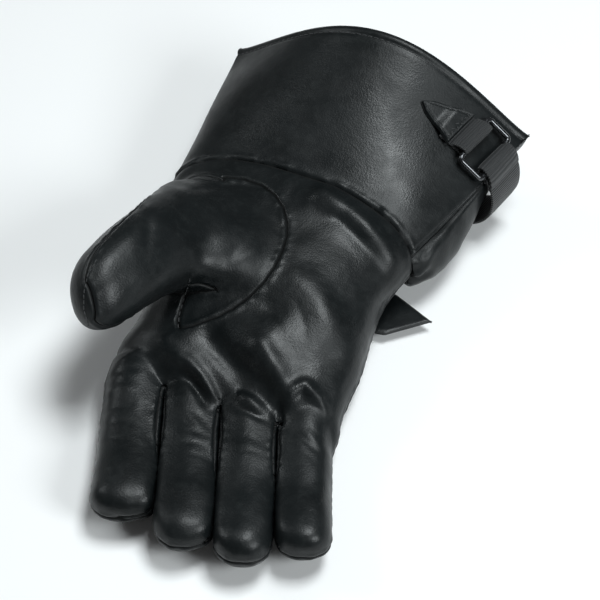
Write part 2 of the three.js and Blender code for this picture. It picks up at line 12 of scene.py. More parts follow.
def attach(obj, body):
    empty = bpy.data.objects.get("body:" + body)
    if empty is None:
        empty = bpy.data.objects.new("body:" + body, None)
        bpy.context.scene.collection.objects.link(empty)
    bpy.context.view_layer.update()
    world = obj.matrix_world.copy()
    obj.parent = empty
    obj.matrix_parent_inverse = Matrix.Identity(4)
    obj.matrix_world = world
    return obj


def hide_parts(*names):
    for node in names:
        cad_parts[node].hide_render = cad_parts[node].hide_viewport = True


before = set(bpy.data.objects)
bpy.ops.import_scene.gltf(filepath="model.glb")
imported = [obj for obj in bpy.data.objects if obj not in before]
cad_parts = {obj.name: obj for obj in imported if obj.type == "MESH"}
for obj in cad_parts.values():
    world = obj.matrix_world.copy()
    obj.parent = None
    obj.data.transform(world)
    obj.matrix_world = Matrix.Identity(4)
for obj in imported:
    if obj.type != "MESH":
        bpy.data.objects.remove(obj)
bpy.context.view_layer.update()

bl_info = {
    "name": "Gauntlet Glove",
    "version": (1, 0, 0),
    "blender": (4, 5, 0),
    "location": "3D View > Sidebar > Glove",
    "description": "Makes a black leather gauntlet glove with a buckled strap",
    "category": "Add Mesh",
}

# Sizes of the glove in millimetres and degrees, in the frame in which its tables are written: x = 0 and y = 0
# lie where the fingers divide. MIDDLE is the middle of its footprint in that frame.
MIDDLE = np.array([18.821, 70.490, 0.0])
LEATHER = 1.8  # wall of the cuff's panels
REST = 0.3  # gap between a piece and what it lies on
PALM_LENGTH, PALM_WIDTH, PALM_HEIGHT = 110, 112, 50
WRIST_BOW = 15  # how far the wrist seam bows towards the cuff over the palm
BOW_SHARE = .3  # share of the palm's length over which that bow fades
FINGER_LENGTH, FINGER_WIDTH, FINGER_THICKNESS = 78, 26, 26
FINGER_LIFT = 5  # how far the fingertips curl up off the floor
FOURCHETTE_WIDTH = 12  # side strip between two fingers
STRIP_RISE = 4.5  # how far the side strips show on the fingers' fronts
STRIP_FROM, STRIP_TO = -.16, .9  # shares of a finger's length between which its strip lies
THUMB_LENGTH, THUMB_WIDTH, THUMB_THICKNESS = 96, 52, 34
THUMB_ROOT = np.array([-12.0, 77.0, 40.0])
THUMB_YAW, THUMB_RISE = 37, 20  # towards the thumb side, and above the floor
THUMB_FRONT_END = .965  # share of the thumb's length at which its front half ends
CUFF_LENGTH, CUFF_WIDTH, CUFF_HEIGHT = 93, 164, 92  # width and height at the rim
CUFF_DRIFT = 26  # how far the rim's middle lies to the little-finger side of the wrist
RIM_LEAN = 6  # how far the rim's top leans towards the fingers
RIM_BELL = 1.3  # how peaked the rim is over the palm; 0.5 is an ellipse
TAB_LENGTH, WEBBING_WIDTH, WEBBING = 24.5, 22, 1.5
BUCKLE_LENGTH, BUCKLE_ROD = 18, 3
BUCKLE_SPARE = 2  # from the webbing's edge to the rod on each side
BUCKLE_ANGLE = 32  # degrees round the cuff from the little-finger side over the palm
BUCKLE_SHARE = .715  # of the way from the wrist to the rim
WRIST_STRAP_WIDTH, WRIST_STRAP_LENGTH, WRIST_STRAP = 27, 118, 2.2
WRIST_STRAP_POINT = 21  # length of its pointed end
SQUARE = 2.4  # how square the rounded sections are; 2 is an ellipse
BLUNT, BLUNT_SQUARE = .05, 2.3  # share of a finger that its blunt end takes, and how square that end is
SHARP, SHARP_ON_HAND = 50, 60  # degrees past which an edge is shaded sharp

# Relief of the leather in millimetres: how far from an edge or seam it lies, its width, and its height, which
# is below 0 for a groove.
HEM_STITCHES = 5  # from a free edge to its stitches
HEM_GROOVE, HEM_SWELL, SIDE_SWELL = (HEM_STITCHES, .9, -.5), (2.4, 1.6, .35), (2.4, 1.6, .3)
WRIST_SWELL = (2.6, 1.7, .5)
HAND_EDGE_SWELL, HAND_EDGE_GROOVE = (3, 2, .25), (0, .8, -.3)
CROTCH_GROOVE = (0, .9, -.7)
TAB_SWELL, TAB_GROOVE, TAB_THINNING = (1.4, .7, .15), (2.4, .5, -.3), (0, .9, -.9)
SEAM_SWELL_AT, SEAM_SWELL_WIDTH, SEAM_WIDTH = 1.8, 1.3, .45
SEAM_CUTS = (.4, .9, 1.6, 2.6)  # distances from the seams at which the mesh gets rows of points
SEAM_SHADE = .55  # how far the leather beside a seam has painted shade, a darker colour, and is duller

# The camera that saw the glove, in millimetres and degrees, and the width of its square picture in pixels.
LOOK_AT = (1.7, 0.5, 25)
AZIMUTH, ELEVATION, DISTANCE, LENS, SENSOR, PICTURE = 14, 50, 850, 105, 36, 600
PIXEL = SENSOR / LENS / PICTURE  # width of a pixel at a distance of 1

# The studio in metres and watts: name, place, width and height, and power of each lamp.
LAMPS = [
    ("top_light", (.3, .15, 1.35), (.5, .4), 15),
    ("side_light", (.95, -.45, .8), (.45, .4), 9),
    ("left_light", (-1.1, .1, .9), (.5, .4), 3.5),
]
LAMP_COLOUR, LAMP_TARGET, ROOM_LIGHT = (.93, .985, 1), (0, 0, .02), .09
FLOOR_SIZE, FLOOR_DROP, FLOOR_COLOUR = 6, .0001, (.88, .88, .88)


def table(names, rows):
    """Named columns from rows."""
    return {n: np.array([r[i] for r in rows], float) for i, n in enumerate(names.split())}


# The hand from the wrist to the fingers: side and width as shares of PALM_WIDTH and half of it, seam, top and
# back as shares of PALM_HEIGHT, turn in degrees.
HAND = table("at side width seam top back turn", [
    (0, .05, 1.17, .64, .46, .5, -10),
    (.07, .04, 1.13, .6, .52, .48, -10),
    (.2, .03, 1.05, .52, .56, .44, -10),
    (.35, .03, 1.01, .45, .58, .38, -9),
    (.55, .035, .989, .38, .56, .38, -9),
    (.72, .01, .995, .34, .5, .36, -8),
    (.84, -.01, 1.015, .32, .41, .33, -8),
    (.92, -.002, 1.015, .29, .31, .3, -8),
    (.99, -.005, 1, .27, .2, .25, -8),
])
# Broad folds of the palm: from and to as shares of PALM_WIDTH and PALM_LENGTH, width and height in walls of
# leather.
FOLDS = [
    (.2, 1.03, .56, .84, 3.2, 2.2),
    (.3, .93, .53, .78, 2.2, -1.3),
    (-.26, .33, .1, .42, 4, -.9),
    (-.22, .24, .18, .3, 3.5, .3),
    (-.3, .2, -.1, .02, 3, 1.5),
    (-.1, .26, .12, .06, 3, -1.3),
    (.12, .24, .3, .03, 3, 1.3),
    (.1, .62, .46, .4, 5, 1),
]
# Fingers: name, root as shares of PALM_WIDTH, length and width as shares of the fingers' own, yaw in degrees.
FINGERS = [
    ("index", -.385, .035, .91, 1.1, 12),
    ("middle", -.127, .025, 1.01, .99, 12.5),
    ("ring", .128, -.015, .97, .99, 12.5),
    ("little", .366, -.01, .845, .97, 13),
]
PAIRS = list(zip(FINGERS, FINGERS[1:]))
# The hand's panels and the solids that they stand for.
HAND_PIECES = [
    ("palm_leather", "palm_panel"),
    ("back_leather", "back_panel"),
    *[(f"strip_{a[0]}_{b[0]}", f"fourchette_{a[0]}_{b[0]}") for a, b in PAIRS],
    ("thumb_front_leather", "thumb_front"),
    ("thumb_back_leather", "thumb_back"),
]
# A finger from its root to its tip, as shares of its width, thickness and lift.
FINGER = table("at width top back lift", [
    (-.24, .9, 1.2, .6, 0),
    (-.08, 1, 1.26, .86, 0),
    (.08, 1, 1.14, 1, 0),
    (.3, 1, 1.04, 1.04, 0),
    (.5, .98, .98, .98, .1),
    (.7, 1, .97, .97, .4),
    (.88, .99, .9, .9, .85),
])
FINGER_SEAM = .5  # height of the side seam, as a share of FINGER_THICKNESS
# The thumb from its root to its tip: shares of its width and thickness, roll in degrees, and how high its
# halves are split.
THUMB = table("at width thickness side roll split", [
    (-.42, .5, .7, .24, 0, .15),
    (-.27, 1.2, 1.05, .24, 0, .15),
    (-.1, 1.52, 1.2, .22, 3, .15),
    (.08, 1.54, 1.16, .21, 9, .15),
    (.2, 1.24, 1.1, .28, 16, .15),
    (.32, .97, 1.02, .325, 23, .16),
    (.5, .83, .97, .275, 36, .18),
    (.7, .77, .9, .175, 44, .24),
    (.86, .71, .8, .075, 46, .3),
])
# How far the gusset bulges from the wrist to the rim, as a share of CUFF_WIDTH.
GUSSET = table("at push", [(0, .012), (.12, .05), (.3, .055), (.48, .035), (.65, .005), (1, -.03)])
# The strap past the buckle: degrees round the cuff, and its height in thicknesses of webbing.
STRAP_SWING = [
    (14, 1), (6, 1.4), (-2, 2.6), (-10, 4), (-18, 4.6), (-27, 4), (-36, 2), (-44, .6), (-52, .2),
]
EDGE_LAP = .4  # degrees that the cuff's pieces reach into one another at their seams
# Edges of the cuff's pieces from the wrist to the rim, in degrees round the cuff.
EDGES = table("at palm thumb back fold", [
    (0, 9, 186, 318, 369),
    (.2, 6, 186, 318, 366),
    (.5, 3, 186, 318, 363),
    (1, 2, 186, 318, 362),
])

# Folds and creases as the picture shows them: width and height in millimetres (a crease is below 0), and the
# line in pixels of the picture.
CREASES = [
    ("wrist roll", 8, 1.8, [(292, 190), (330, 204), (362, 228), (386, 256), (400, 276)]),
    ("thumb base fold", 2, -.6, [(188, 191), (215, 186), (245, 184), (280, 191)]),
    ("thumb edge ridge", 6, .5, [(198, 214), (188, 236), (172, 256), (152, 276)]),
    ("thumb edge valley", 6, -.5, [(214, 222), (206, 244), (196, 262)]),
    ("keystone ridge", 5, .6, [(214, 246), (235, 228), (258, 222)]),
    ("keystone crease one", 2, -.45, [(222, 268), (236, 250), (248, 240)]),
    ("keystone crease two", 2, .45, [(232, 274), (246, 256), (262, 246)]),
    ("thumb crotch", 2, -.3, [(150, 302), (166, 291), (178, 283), (190, 276), (202, 266)]),
    ("keystone hollow", 7, -.4, [(190, 306), (206, 298), (228, 288)]),
    ("palm valley", 6, -2.2, [(190, 330), (228, 360), (262, 382), (282, 408)]),
    ("palm ridge", 6, .7, [(236, 330), (258, 350), (276, 372), (288, 392)]),
    ("palm line one", 1.2, -.3, [(234, 332), (250, 343), (262, 356)]),
    ("palm line two", 1.2, -.3, [(262, 300), (276, 318), (284, 338)]),
    ("palm line three", 1.2, -.25, [(296, 300), (304, 322), (306, 344)]),
    ("palm ridge two", 8, .8, [(300, 262), (318, 290), (330, 330), (336, 360)]),
    ("index ridge", 3, 2.6, [(171, 362), (178, 356), (190, 362), (202, 376), (213, 396), (222, 410)]),
    ("index crease", 2.2, -2, [(178, 372), (190, 380), (200, 392), (208, 408)]),
    ("ring ridge", 2.4, 1.6, [(224, 400), (236, 393), (250, 400), (266, 412)]),
    ("ring crease", 1.7, -1.3, [(230, 404), (250, 412), (268, 421)]),
    ("ring crease two", 1.5, -.6, [(243, 384), (236, 394), (231, 404)]),
    ("little ridge", 3, 2.2, [(284, 406), (291, 391), (304, 384), (318, 398), (329, 420)]),
    ("little crease", 2, -1.8, [(280, 402), (279, 416), (280, 430)]),
    ("little crease two", 2.2, -.6, [(284, 424), (304, 438), (320, 456)]),
    ("index side one", 2, .5, [(116, 362), (134, 352), (154, 352)]),
    ("index side two", 2, -.5, [(108, 378), (124, 368), (142, 368)]),
    ("index side three", 2, .5, [(104, 396), (118, 388), (136, 388)]),
    ("index side four", 2, -.4, [(102, 414), (118, 405), (132, 406)]),
    ("middle crease one", 1.8, -.5, [(180, 416), (190, 424), (200, 436)]),
    ("middle crease two", 1.8, -.4, [(186, 404), (200, 416), (212, 432)]),
    ("index wrinkle one", 1, -.22, [(106, 406), (122, 400), (140, 403)]),
    ("index wrinkle two", 1, -.2, [(103, 426), (119, 420), (136, 423)]),
    ("index wrinkle three", 1, -.18, [(102, 442), (115, 438), (130, 441)]),
    ("middle wrinkle one", 1, -.25, [(182, 429), (199, 432), (213, 440)]),
    ("middle wrinkle two", 1, -.25, [(181, 441), (198, 443), (214, 451)]),
    ("middle wrinkle three", 1, -.18, [(186, 453), (202, 456), (214, 463)]),
    ("ring wrinkle one", 1, -.22, [(236, 434), (250, 437), (263, 445)]),
    ("ring wrinkle two", 1, -.2, [(238, 450), (253, 451), (265, 457)]),
    ("little wrinkle one", 1, -.25, [(290, 430), (307, 440), (324, 456)]),
    ("little wrinkle two", 1, -.22, [(296, 419), (312, 430), (328, 444)]),
    ("little wrinkle three", 1, -.2, [(294, 445), (310, 456), (323, 469)]),
    ("thumb side bend", 3, -.8, [(140, 206), (150, 228), (146, 252)]),
]

# Outline of the thumb's keystone on the palm, and two seams of the thumb, in pixels of the picture.
KEYSTONE = [
    (222, 176), (245, 179), (262, 185), (275, 195), (283, 207), (287, 222), (287, 236), (282, 252),
    (274, 268), (263, 283), (249, 297), (233, 308), (216, 317), (202, 322), (190, 326), (179, 328),
    (177, 320), (183, 298), (190, 277), (215, 262), (240, 230), (235, 200),
]
CROTCH_SEAM = [(190, 278), (186, 293), (180, 314), (178, 327)]
THUMB_TOPSTITCH = [(97, 259), (88, 275), (84, 292), (84, 310), (89, 327)]


def mix(a, b, t):
    """From a to b as t goes from 0 to 1."""
    return a + (b - a) * t


def unit(v):
    """Vectors with length 1."""
    return v / np.maximum(np.linalg.norm(v, axis=-1, keepdims=True), 1e-9)


def smoothstep(x, low, high):
    """0 up to low, 1 from high on, and a smooth rise between them."""
    t = np.clip((x - low) / (high - low), 0, 1)
    return t * t * (3 - 2 * t)


def ridge(distance, relief):
    """Height of a rounded ridge or groove, given as (how far, width, height)."""
    at, width, height = relief
    return height * np.exp(-((distance - at) / width) ** 2)


def along(rows, column, at):
    """One column of a table on a smooth curve through its rows."""
    x, y = rows["at"], rows[column]
    at = np.asarray(at, float)
    i = np.searchsorted(x[1:-1], at, side="left")
    last = len(x) - 1
    step = x[i + 1] - x[i]
    t = (at - x[i]) / step

    def slope(k):
        low, high = np.maximum(k - 1, 0), np.minimum(k + 1, last)
        return (y[high] - y[low]) / (x[high] - x[low]) * step

    return (
        (2 * t**3 - 3 * t**2 + 1) * y[i]
        + (t**3 - 2 * t**2 + t) * slope(i)
        + (3 * t**2 - 2 * t**3) * y[i + 1]
        + (t**3 - t**2) * slope(i + 1)
    )


def rounded(angle):
    """Across and up on a rounded section, each from -1 to 1."""
    c, s = np.cos(angle), np.sin(angle)
    return np.sign(c) * np.abs(c) ** (2 / SQUARE), np.sign(s) * np.abs(s) ** (2 / SQUARE)


def ring(sides):
    """Angles round a section, spread evenly over its outline rather than over the angle."""
    fine = np.linspace(0, 2 * math.pi, 4001)  # many more than any ring has
    u, v = rounded(fine)
    length = np.concatenate([[0], np.cumsum(np.hypot(np.diff(u), np.diff(v)))])
    return np.interp(np.arange(sides) / sides * length[-1], length, fine)


def line_distance(points, line):
    """Distance of points from a line of points, and how far along it the nearest place is, from 0 to 1."""
    best = np.full(len(points), 1e9)
    share = np.zeros(len(points))
    lengths = np.linalg.norm(np.diff(line, axis=0), axis=1)
    start = np.concatenate([[0], np.cumsum(lengths)])
    for i, length in enumerate(lengths):
        d = line[i + 1] - line[i]
        t = np.clip((points - line[i]) @ d / max(length**2, 1e-9), 0, 1)
        away = np.linalg.norm(points - line[i] - t[:, None] * d, axis=1)
        nearer = away < best
        best[nearer] = away[nearer]
        share[nearer] = ((start[i] + t * length) / start[-1])[nearer]
    return best, share


def soft_noise(points, size, seed):
    """Smooth random values from about -1 to 1 that change over a distance of size."""
    rng = np.random.default_rng(seed)
    waves, spread = 14, 3.2
    total = np.zeros(len(points))
    for _ in range(waves):
        way = unit(rng.normal(size=3)) * rng.uniform(.6, 1.5)
        total += np.sin(points @ way * 2 * math.pi / size + rng.uniform(0, 2 * math.pi))
    return total / spread


# The hand's forms, in the frame of the tables.

def fold_height(x, y):
    """Height of the palm's broad folds."""
    height = np.zeros_like(x)
    for from_x, from_y, to_x, to_y, width, tall in FOLDS:
        a = np.array([from_x * PALM_WIDTH, from_y * PALM_LENGTH])
        d = np.array([to_x * PALM_WIDTH, to_y * PALM_LENGTH]) - a
        p = np.stack([x, y], -1) - a
        t = np.clip(p @ d / (d @ d), 0, 1)
        away = np.linalg.norm(p - t[..., None] * d, axis=-1) / (width * LEATHER)
        height += tall * LEATHER * np.exp(-away * away)
    return height


def hand_points(at, angle):
    """Points of the hand at a share of its length and an angle round its section."""
    turn = np.radians(along(HAND, "turn", at))
    u, v = rounded(angle)
    over = np.maximum(0, v)
    across = u * along(HAND, "width", at) * PALM_WIDTH / 2
    up = v * np.where(v > 0, along(HAND, "top", at), along(HAND, "back", at)) * PALM_HEIGHT
    bow = WRIST_BOW * over**1.5 * np.maximum(0, 1 - at / BOW_SHARE)
    x = along(HAND, "side", at) * PALM_WIDTH + across * np.cos(turn)
    y = PALM_LENGTH * (1 - at) + across * np.sin(turn) + bow
    z = np.maximum(along(HAND, "seam", at) * PALM_HEIGHT + up, 0)
    return np.stack([x, y, z + over**1.5 * fold_height(x, y)], -1)


def finger_foot(finger, at, side=0.0):
    """Points of a finger's middle line, or beside it, at the height of its seam."""
    _, root_x, root_y, length, _, yaw = finger
    a = math.radians(yaw)
    reach = at * length * FINGER_LENGTH
    z = FINGER_SEAM * FINGER_THICKNESS + along(FINGER, "lift", at) * FINGER_LIFT
    x = root_x * PALM_WIDTH + math.sin(a) * reach + math.cos(a) * side
    y = root_y * PALM_WIDTH - math.cos(a) * reach + math.sin(a) * side
    return np.stack(np.broadcast_arrays(x, y, z), -1)


def blunt(rows, step, rings):
    """Stations along a tube with a blunt end, each with how far the end has closed it."""
    last = rows["at"][-1] - BLUNT
    body = np.arange(rows["at"][0], last, step)
    turn = np.linspace(0, math.pi / 2, rings + 1)[:-1]
    share = np.sin(turn) ** (2 / BLUNT_SQUARE)
    close = np.cos(turn) ** (2 / BLUNT_SQUARE)
    return np.concatenate([body, mix(last, 1, share)]), np.concatenate([np.ones(len(body)), close])


def finger_points(finger, sides, step):
    """Rings of points along a finger."""
    _, _, _, length, width, _ = finger
    at, close = blunt(FINGER, step / (length * FINGER_LENGTH), 16)
    at, close = at[:, None], close[:, None]
    u, v = rounded(ring(sides))
    half = along(FINGER, "width", at) * width * FINGER_WIDTH / 2 * close
    tall = np.where(v > 0, along(FINGER, "top", at), along(FINGER, "back", at))
    tall = tall * FINGER_THICKNESS / 2 * close
    p = finger_foot(finger, np.broadcast_to(at, (len(at), sides)), u * half)
    p[..., 2] = np.maximum(p[..., 2] + v * tall, 0)
    return p


def turned(axis, degrees, vectors):
    """Vectors turned about a unit axis."""
    a = np.radians(np.asarray(degrees, float))[..., None]
    return (
        vectors * np.cos(a)
        + np.cross(axis, vectors) * np.sin(a)
        + axis * (vectors @ axis)[..., None] * (1 - np.cos(a))
    )


RISEN = turned(np.array([1.0, 0, 0]), -THUMB_RISE, np.array([0, -1.0, 0]))
HEADING = turned(np.array([0, 0, 1.0]), -THUMB_YAW, RISEN)  # the way in which the thumb points


def thumb_axes(at):
    """The thumb's middle line at a share of its length, and the directions across it and out of its face."""
    across = unit(np.cross(HEADING, [0, 0, 1.0]))
    across = turned(HEADING, -along(THUMB, "roll", at), np.broadcast_to(across, (*np.shape(at), 3)))
    face = np.cross(across, HEADING)
    shift = (along(THUMB, "side", at) * THUMB_WIDTH)[..., None] * across
    return THUMB_ROOT + np.asarray(at)[..., None] * THUMB_LENGTH * HEADING + shift, across, face


def thumb_points(sides, step):
    """Rings of points along the thumb."""
    at, close = blunt(THUMB, step / THUMB_LENGTH, 18)
    middle, across, face = thumb_axes(at)
    u, v = rounded(ring(sides))
    half = along(THUMB, "width", at) * THUMB_WIDTH / 2 * close
    tall = along(THUMB, "thickness", at) * THUMB_THICKNESS / 2 * close
    p = (
        middle[:, None]
        + (half[:, None] * u)[..., None] * across[:, None]
        + (tall[:, None] * v)[..., None] * face[:, None]
    )
    p[..., 2] = np.maximum(p[..., 2], 0)
    return p


def thumb_local(p):
    """How far along the thumb points lie, and how high over its seam."""
    at = np.clip((p - THUMB_ROOT) @ HEADING / THUMB_LENGTH, THUMB["at"][0], 1)
    middle, _, face = thumb_axes(at)
    up = np.einsum("ij,ij->i", p - middle, face)
    return at, up - along(THUMB, "split", at) * THUMB_THICKNESS / 2


def seam_height(y):
    """Height of the side seam of hand and fingers."""
    at = np.clip(-y / FINGER_LENGTH, 0, 1)
    finger = FINGER_SEAM * FINGER_THICKNESS + along(FINGER, "lift", at) * FINGER_LIFT
    root = .3  # share of a finger over which the seam passes from the hand's height to its own
    below = mix(HAND["seam"][-1] * PALM_HEIGHT, finger, np.minimum(1, at / root))
    return np.where(y > 0, along(HAND, "seam", np.clip(1 - y / PALM_LENGTH, 0, 1)) * PALM_HEIGHT, below)


def strip_field(left, right, p):
    """Above 0 inside the side strip between two fingers."""
    a = math.radians((left[5] + right[5]) / 2)
    down, side = np.array([math.sin(a), -math.cos(a)]), np.array([math.cos(a), math.sin(a)])
    roots = [np.array([f[1], f[2]]) * PALM_WIDTH for f in (left, right)]
    share = (p[:, :2] - (roots[0] + roots[1]) / 2) @ down / ((left[3] + right[3]) / 2 * FINGER_LENGTH)
    # The strip narrows towards the fingertips, and there it rises less over the fingers' fronts.
    half = FOURCHETTE_WIDTH / 2 * np.minimum(1, 1.25 - 1.2 * share)
    height = FINGER_SEAM * FINGER_THICKNESS + along(FINGER, "lift", share) * FINGER_LIFT
    limits = [
        half + STRIP_RISE * np.clip(1.6 - 2 * share, 0, 1) - (p[:, 2] - height),
        half + (p[:, 2] - height),
        (p[:, :2] - roots[0]) @ side,
        -(p[:, :2] - roots[1]) @ side,
        (STRIP_TO - share) * FINGER_LENGTH,
        (share - STRIP_FROM) * FINGER_LENGTH,
    ]
    return np.min(limits, axis=0)


# The cuff's forms, by the angle round it and the share of the way from the wrist to the rim.

def cuff_base(angle, share):
    """Points on the cuff without its gusset's bulge."""
    u, v = rounded(angle)
    first = {name: HAND[name][0] for name in HAND}
    half = mix(first["width"] * PALM_WIDTH / 2, CUFF_WIDTH / 2, share**1.1)
    seam = mix(first["seam"] * PALM_HEIGHT, CUFF_HEIGHT / 2, share)
    over = np.where(v > 0, mix(v, np.clip(1 - u * u, 0, 1) ** RIM_BELL, share**.8), 0)
    top = over * mix(first["top"] * PALM_HEIGHT, CUFF_HEIGHT / 2, share)
    under = np.minimum(0, v) * mix(first["back"] * PALM_HEIGHT, CUFF_HEIGHT / 2 + LEATHER, share**.6)
    turn = math.radians(first["turn"])
    bow = WRIST_BOW * np.maximum(0, v) ** 1.5 * (1 - share)
    x = first["side"] * PALM_WIDTH + CUFF_DRIFT * share + u * half * math.cos(turn)
    y = PALM_LENGTH + CUFF_LENGTH * share + u * half * math.sin(turn) + bow - RIM_LEAN * share * over
    return np.stack([x, y, np.maximum(seam + top + under, 0)], -1)


def outward(surface, angle, share):
    """The direction out of a surface that is given by angle and share."""
    step = .004
    near, far = np.maximum(0, share - step), np.minimum(1, share + step)
    round_ = surface(angle + step, share) - surface(angle - step, share)
    return unit(np.cross(surface(angle, far) - surface(angle, near), round_))


def cuff_points(angle, share, out=0.0, push=None):
    """Points at a height over the cuff, which push may make bulge."""
    angle, share = np.broadcast_arrays(np.asarray(angle, float), np.asarray(share, float))

    def surface(a, s):
        p = cuff_base(a, s)
        return p if push is None else p + outward(cuff_base, a, s) * push(a, s)[..., None]

    return surface(angle, share) + outward(surface, angle, share) * np.asarray(out, float)[..., None]


# How far each degree round the cuff lies from the buckle.
DEGREES = np.arange(90.0, -61.0, -1.0)
STRAP_LINE = cuff_base(np.radians(DEGREES), np.full(len(DEGREES), BUCKLE_SHARE))
REACHES = np.concatenate([[0], np.cumsum(np.linalg.norm(np.diff(STRAP_LINE, axis=0), axis=1))])
REACHES -= REACHES[np.argmax(DEGREES <= BUCKLE_ANGLE)]


def reach_at(degrees):
    """Millimetres round the cuff from the buckle to an angle."""
    return REACHES[np.argmax(DEGREES <= degrees)]


def on_cuff(reach, side, height):
    """Places on the cuff: reach and side in millimetres from the buckle, and height above the leather."""
    degrees = np.interp(reach, REACHES, DEGREES)
    return cuff_points(np.radians(degrees), BUCKLE_SHARE + np.asarray(side, float) / CUFF_LENGTH, height)


# Meshes.

def to_scene(p):
    """Millimetres of the tables as metres of the scene."""
    return (np.asarray(p, float) - MIDDLE) / 1000


def make(name, points, faces, attributes=None, uv=None):
    """A mesh object from points in millimetres."""
    mesh = bpy.data.meshes.new(name)
    mesh.from_pydata(to_scene(points).tolist(), [], [np.asarray(f).tolist() for f in faces])
    for key, values in (attributes or {}).items():
        mesh.attributes.new(key, "FLOAT", "POINT").data.foreach_set("value", np.asarray(values, np.float32))
    if uv is not None:
        layer = mesh.uv_layers.new(name="UVMap")
        corner = np.empty(len(mesh.loops), np.int32)
        mesh.loops.foreach_get("vertex_index", corner)
        layer.data.foreach_set("uv", np.asarray(uv, np.float32)[corner].ravel())
    obj = bpy.data.objects.new(name, mesh)
    bpy.context.collection.objects.link(obj)
    return obj


def select(obj):
    """Leaves one object selected and active."""
    bpy.ops.object.select_all(action="DESELECT")
    obj.select_set(True)
    bpy.context.view_layer.objects.active = obj


def outwards(obj):
    """Turns a closed mesh so that its faces look out, and shades it smooth."""
    bm = bmesh.new()
    bm.from_mesh(obj.data)
    bmesh.ops.recalc_face_normals(bm, faces=bm.faces)
    if bm.calc_volume(signed=True) < 0:
        bmesh.ops.reverse_faces(bm, faces=bm.faces)
    bm.to_mesh(obj.data)
    bm.free()
    select(obj)
    bpy.ops.object.shade_smooth_by_angle(angle=math.radians(SHARP))


def tube(points):
    """A closed tube from rings of points, with a fan at each end: points and triangles."""
    rows, sides = points.shape[:2]
    flat = points.reshape(-1, 3)
    i, j = np.meshgrid(np.arange(rows - 1), np.arange(sides), indexing="ij")
    a, b = i * sides + j, i * sides + (j + 1) % sides
    quads = np.stack([a, b, b + sides, a + sides], -1).reshape(-1, 4)
    tris = [quads[:, [0, 1, 2]], quads[:, [0, 2, 3]]]
    ends = []
    for row, turn in ((0, True), (rows - 1, False)):
        centre = len(flat) + len(ends)
        ends.append(points[row].mean(axis=0))
        j = np.arange(sides)
        edge = [row * sides + j, row * sides + (j + 1) % sides]
        if turn:
            edge.reverse()
        tris.append(np.stack([np.full(sides, centre), *edge], -1))
    points, tris = np.vstack([flat, ends]), np.vstack(tris)
    p = points[tris]
    if np.einsum("ij,ij->i", p[:, 0], np.cross(p[:, 1], p[:, 2])).sum() < 0:
        tris = tris[:, ::-1]
    return points, tris


def mesh_arrays(obj):
    """Points in millimetres and triangles of an object."""
    mesh = obj.data
    p = np.empty(len(mesh.vertices) * 3)
    mesh.vertices.foreach_get("co", p)
    mesh.calc_loop_triangles()
    t = np.empty(len(mesh.loop_triangles) * 3, np.int32)
    mesh.loop_triangles.foreach_get("vertices", t)
    return p.reshape(-1, 3) * 1000 + MIDDLE, t.reshape(-1, 3)


def facing_of(p, tris):
    """The direction out of each triangle, as long as twice its area."""
    return np.cross(p[tris[:, 1]] - p[tris[:, 0]], p[tris[:, 2]] - p[tris[:, 0]])


def normals(p, tris):
    """The direction out of a mesh at each point."""
    n = facing_of(p, tris)
    total = np.zeros_like(p)
    for k in range(3):
        np.add.at(total, tris[:, k], n)
    return unit(total)


def edges_of(tris):
    """The three edges of each triangle, the lower point first."""
    return np.sort(np.vstack([tris[:, [0, 1]], tris[:, [1, 2]], tris[:, [2, 0]]]), axis=1)


def relax(p, tris, weight, times):
    """Moves points towards the middle of their neighbours, each by its weight."""
    edges = np.unique(edges_of(tris), axis=0)
    count = np.bincount(edges.ravel(), minlength=len(p))[:, None]
    w = np.broadcast_to(weight, len(p))[:, None]
    for _ in range(times):
        total = np.zeros_like(p)
        np.add.at(total, edges[:, 0], p[edges[:, 1]])
        np.add.at(total, edges[:, 1], p[edges[:, 0]])
        p = p + w * (total / np.maximum(count, 1) - p)
    return p


def split_at(p, tris, field):
    """Cuts triangles where a field of the points passes 0, so that the cut is a clean line."""
    on_cut = .04  # millimetres from the cut within which a point counts as on it
    f = np.where(np.abs(field) < on_cut, 0, field)
    sign = np.sign(f)
    s = sign[tris]
    crossing = (s.max(axis=1) > 0) & (s.min(axis=1) < 0)
    keep, cut = tris[~crossing], tris[crossing]
    s = sign[cut]
    made, points = {}, []

    def middle(a, b):
        key = (a, b) if a < b else (b, a)
        if key not in made:
            a, b = key
            t = f[a] / (f[a] - f[b])
            made[key] = len(p) + len(points)
            points.append(p[a] + t * (p[b] - p[a]))
        return made[key]

    new = []
    for tri, row in zip(cut.tolist(), s.tolist()):
        if 0 in row:
            k = row.index(0)
            z, a, b = tri[k], tri[(k + 1) % 3], tri[(k + 2) % 3]
            m = middle(a, b)
            new += [(z, a, m), (z, m, b)]
        else:
            k = next(i for i in range(3) if row[i] != row[(i + 1) % 3] and row[i] != row[(i + 2) % 3])
            a, b, c = tri[k], tri[(k + 1) % 3], tri[(k + 2) % 3]
            m, n = middle(a, b), middle(a, c)
            new += [(a, m, n), (m, b, c), (m, c, n)]
    if not new:
        return p, tris
    return np.vstack([p, points]), np.vstack([keep, np.array(new, tris.dtype)])


def used(p, tris, *values):
    """Only the points that triangles use."""
    index, inverse = np.unique(tris, return_inverse=True)
    return p[index], inverse.reshape(tris.shape), *[v[index] for v in values]


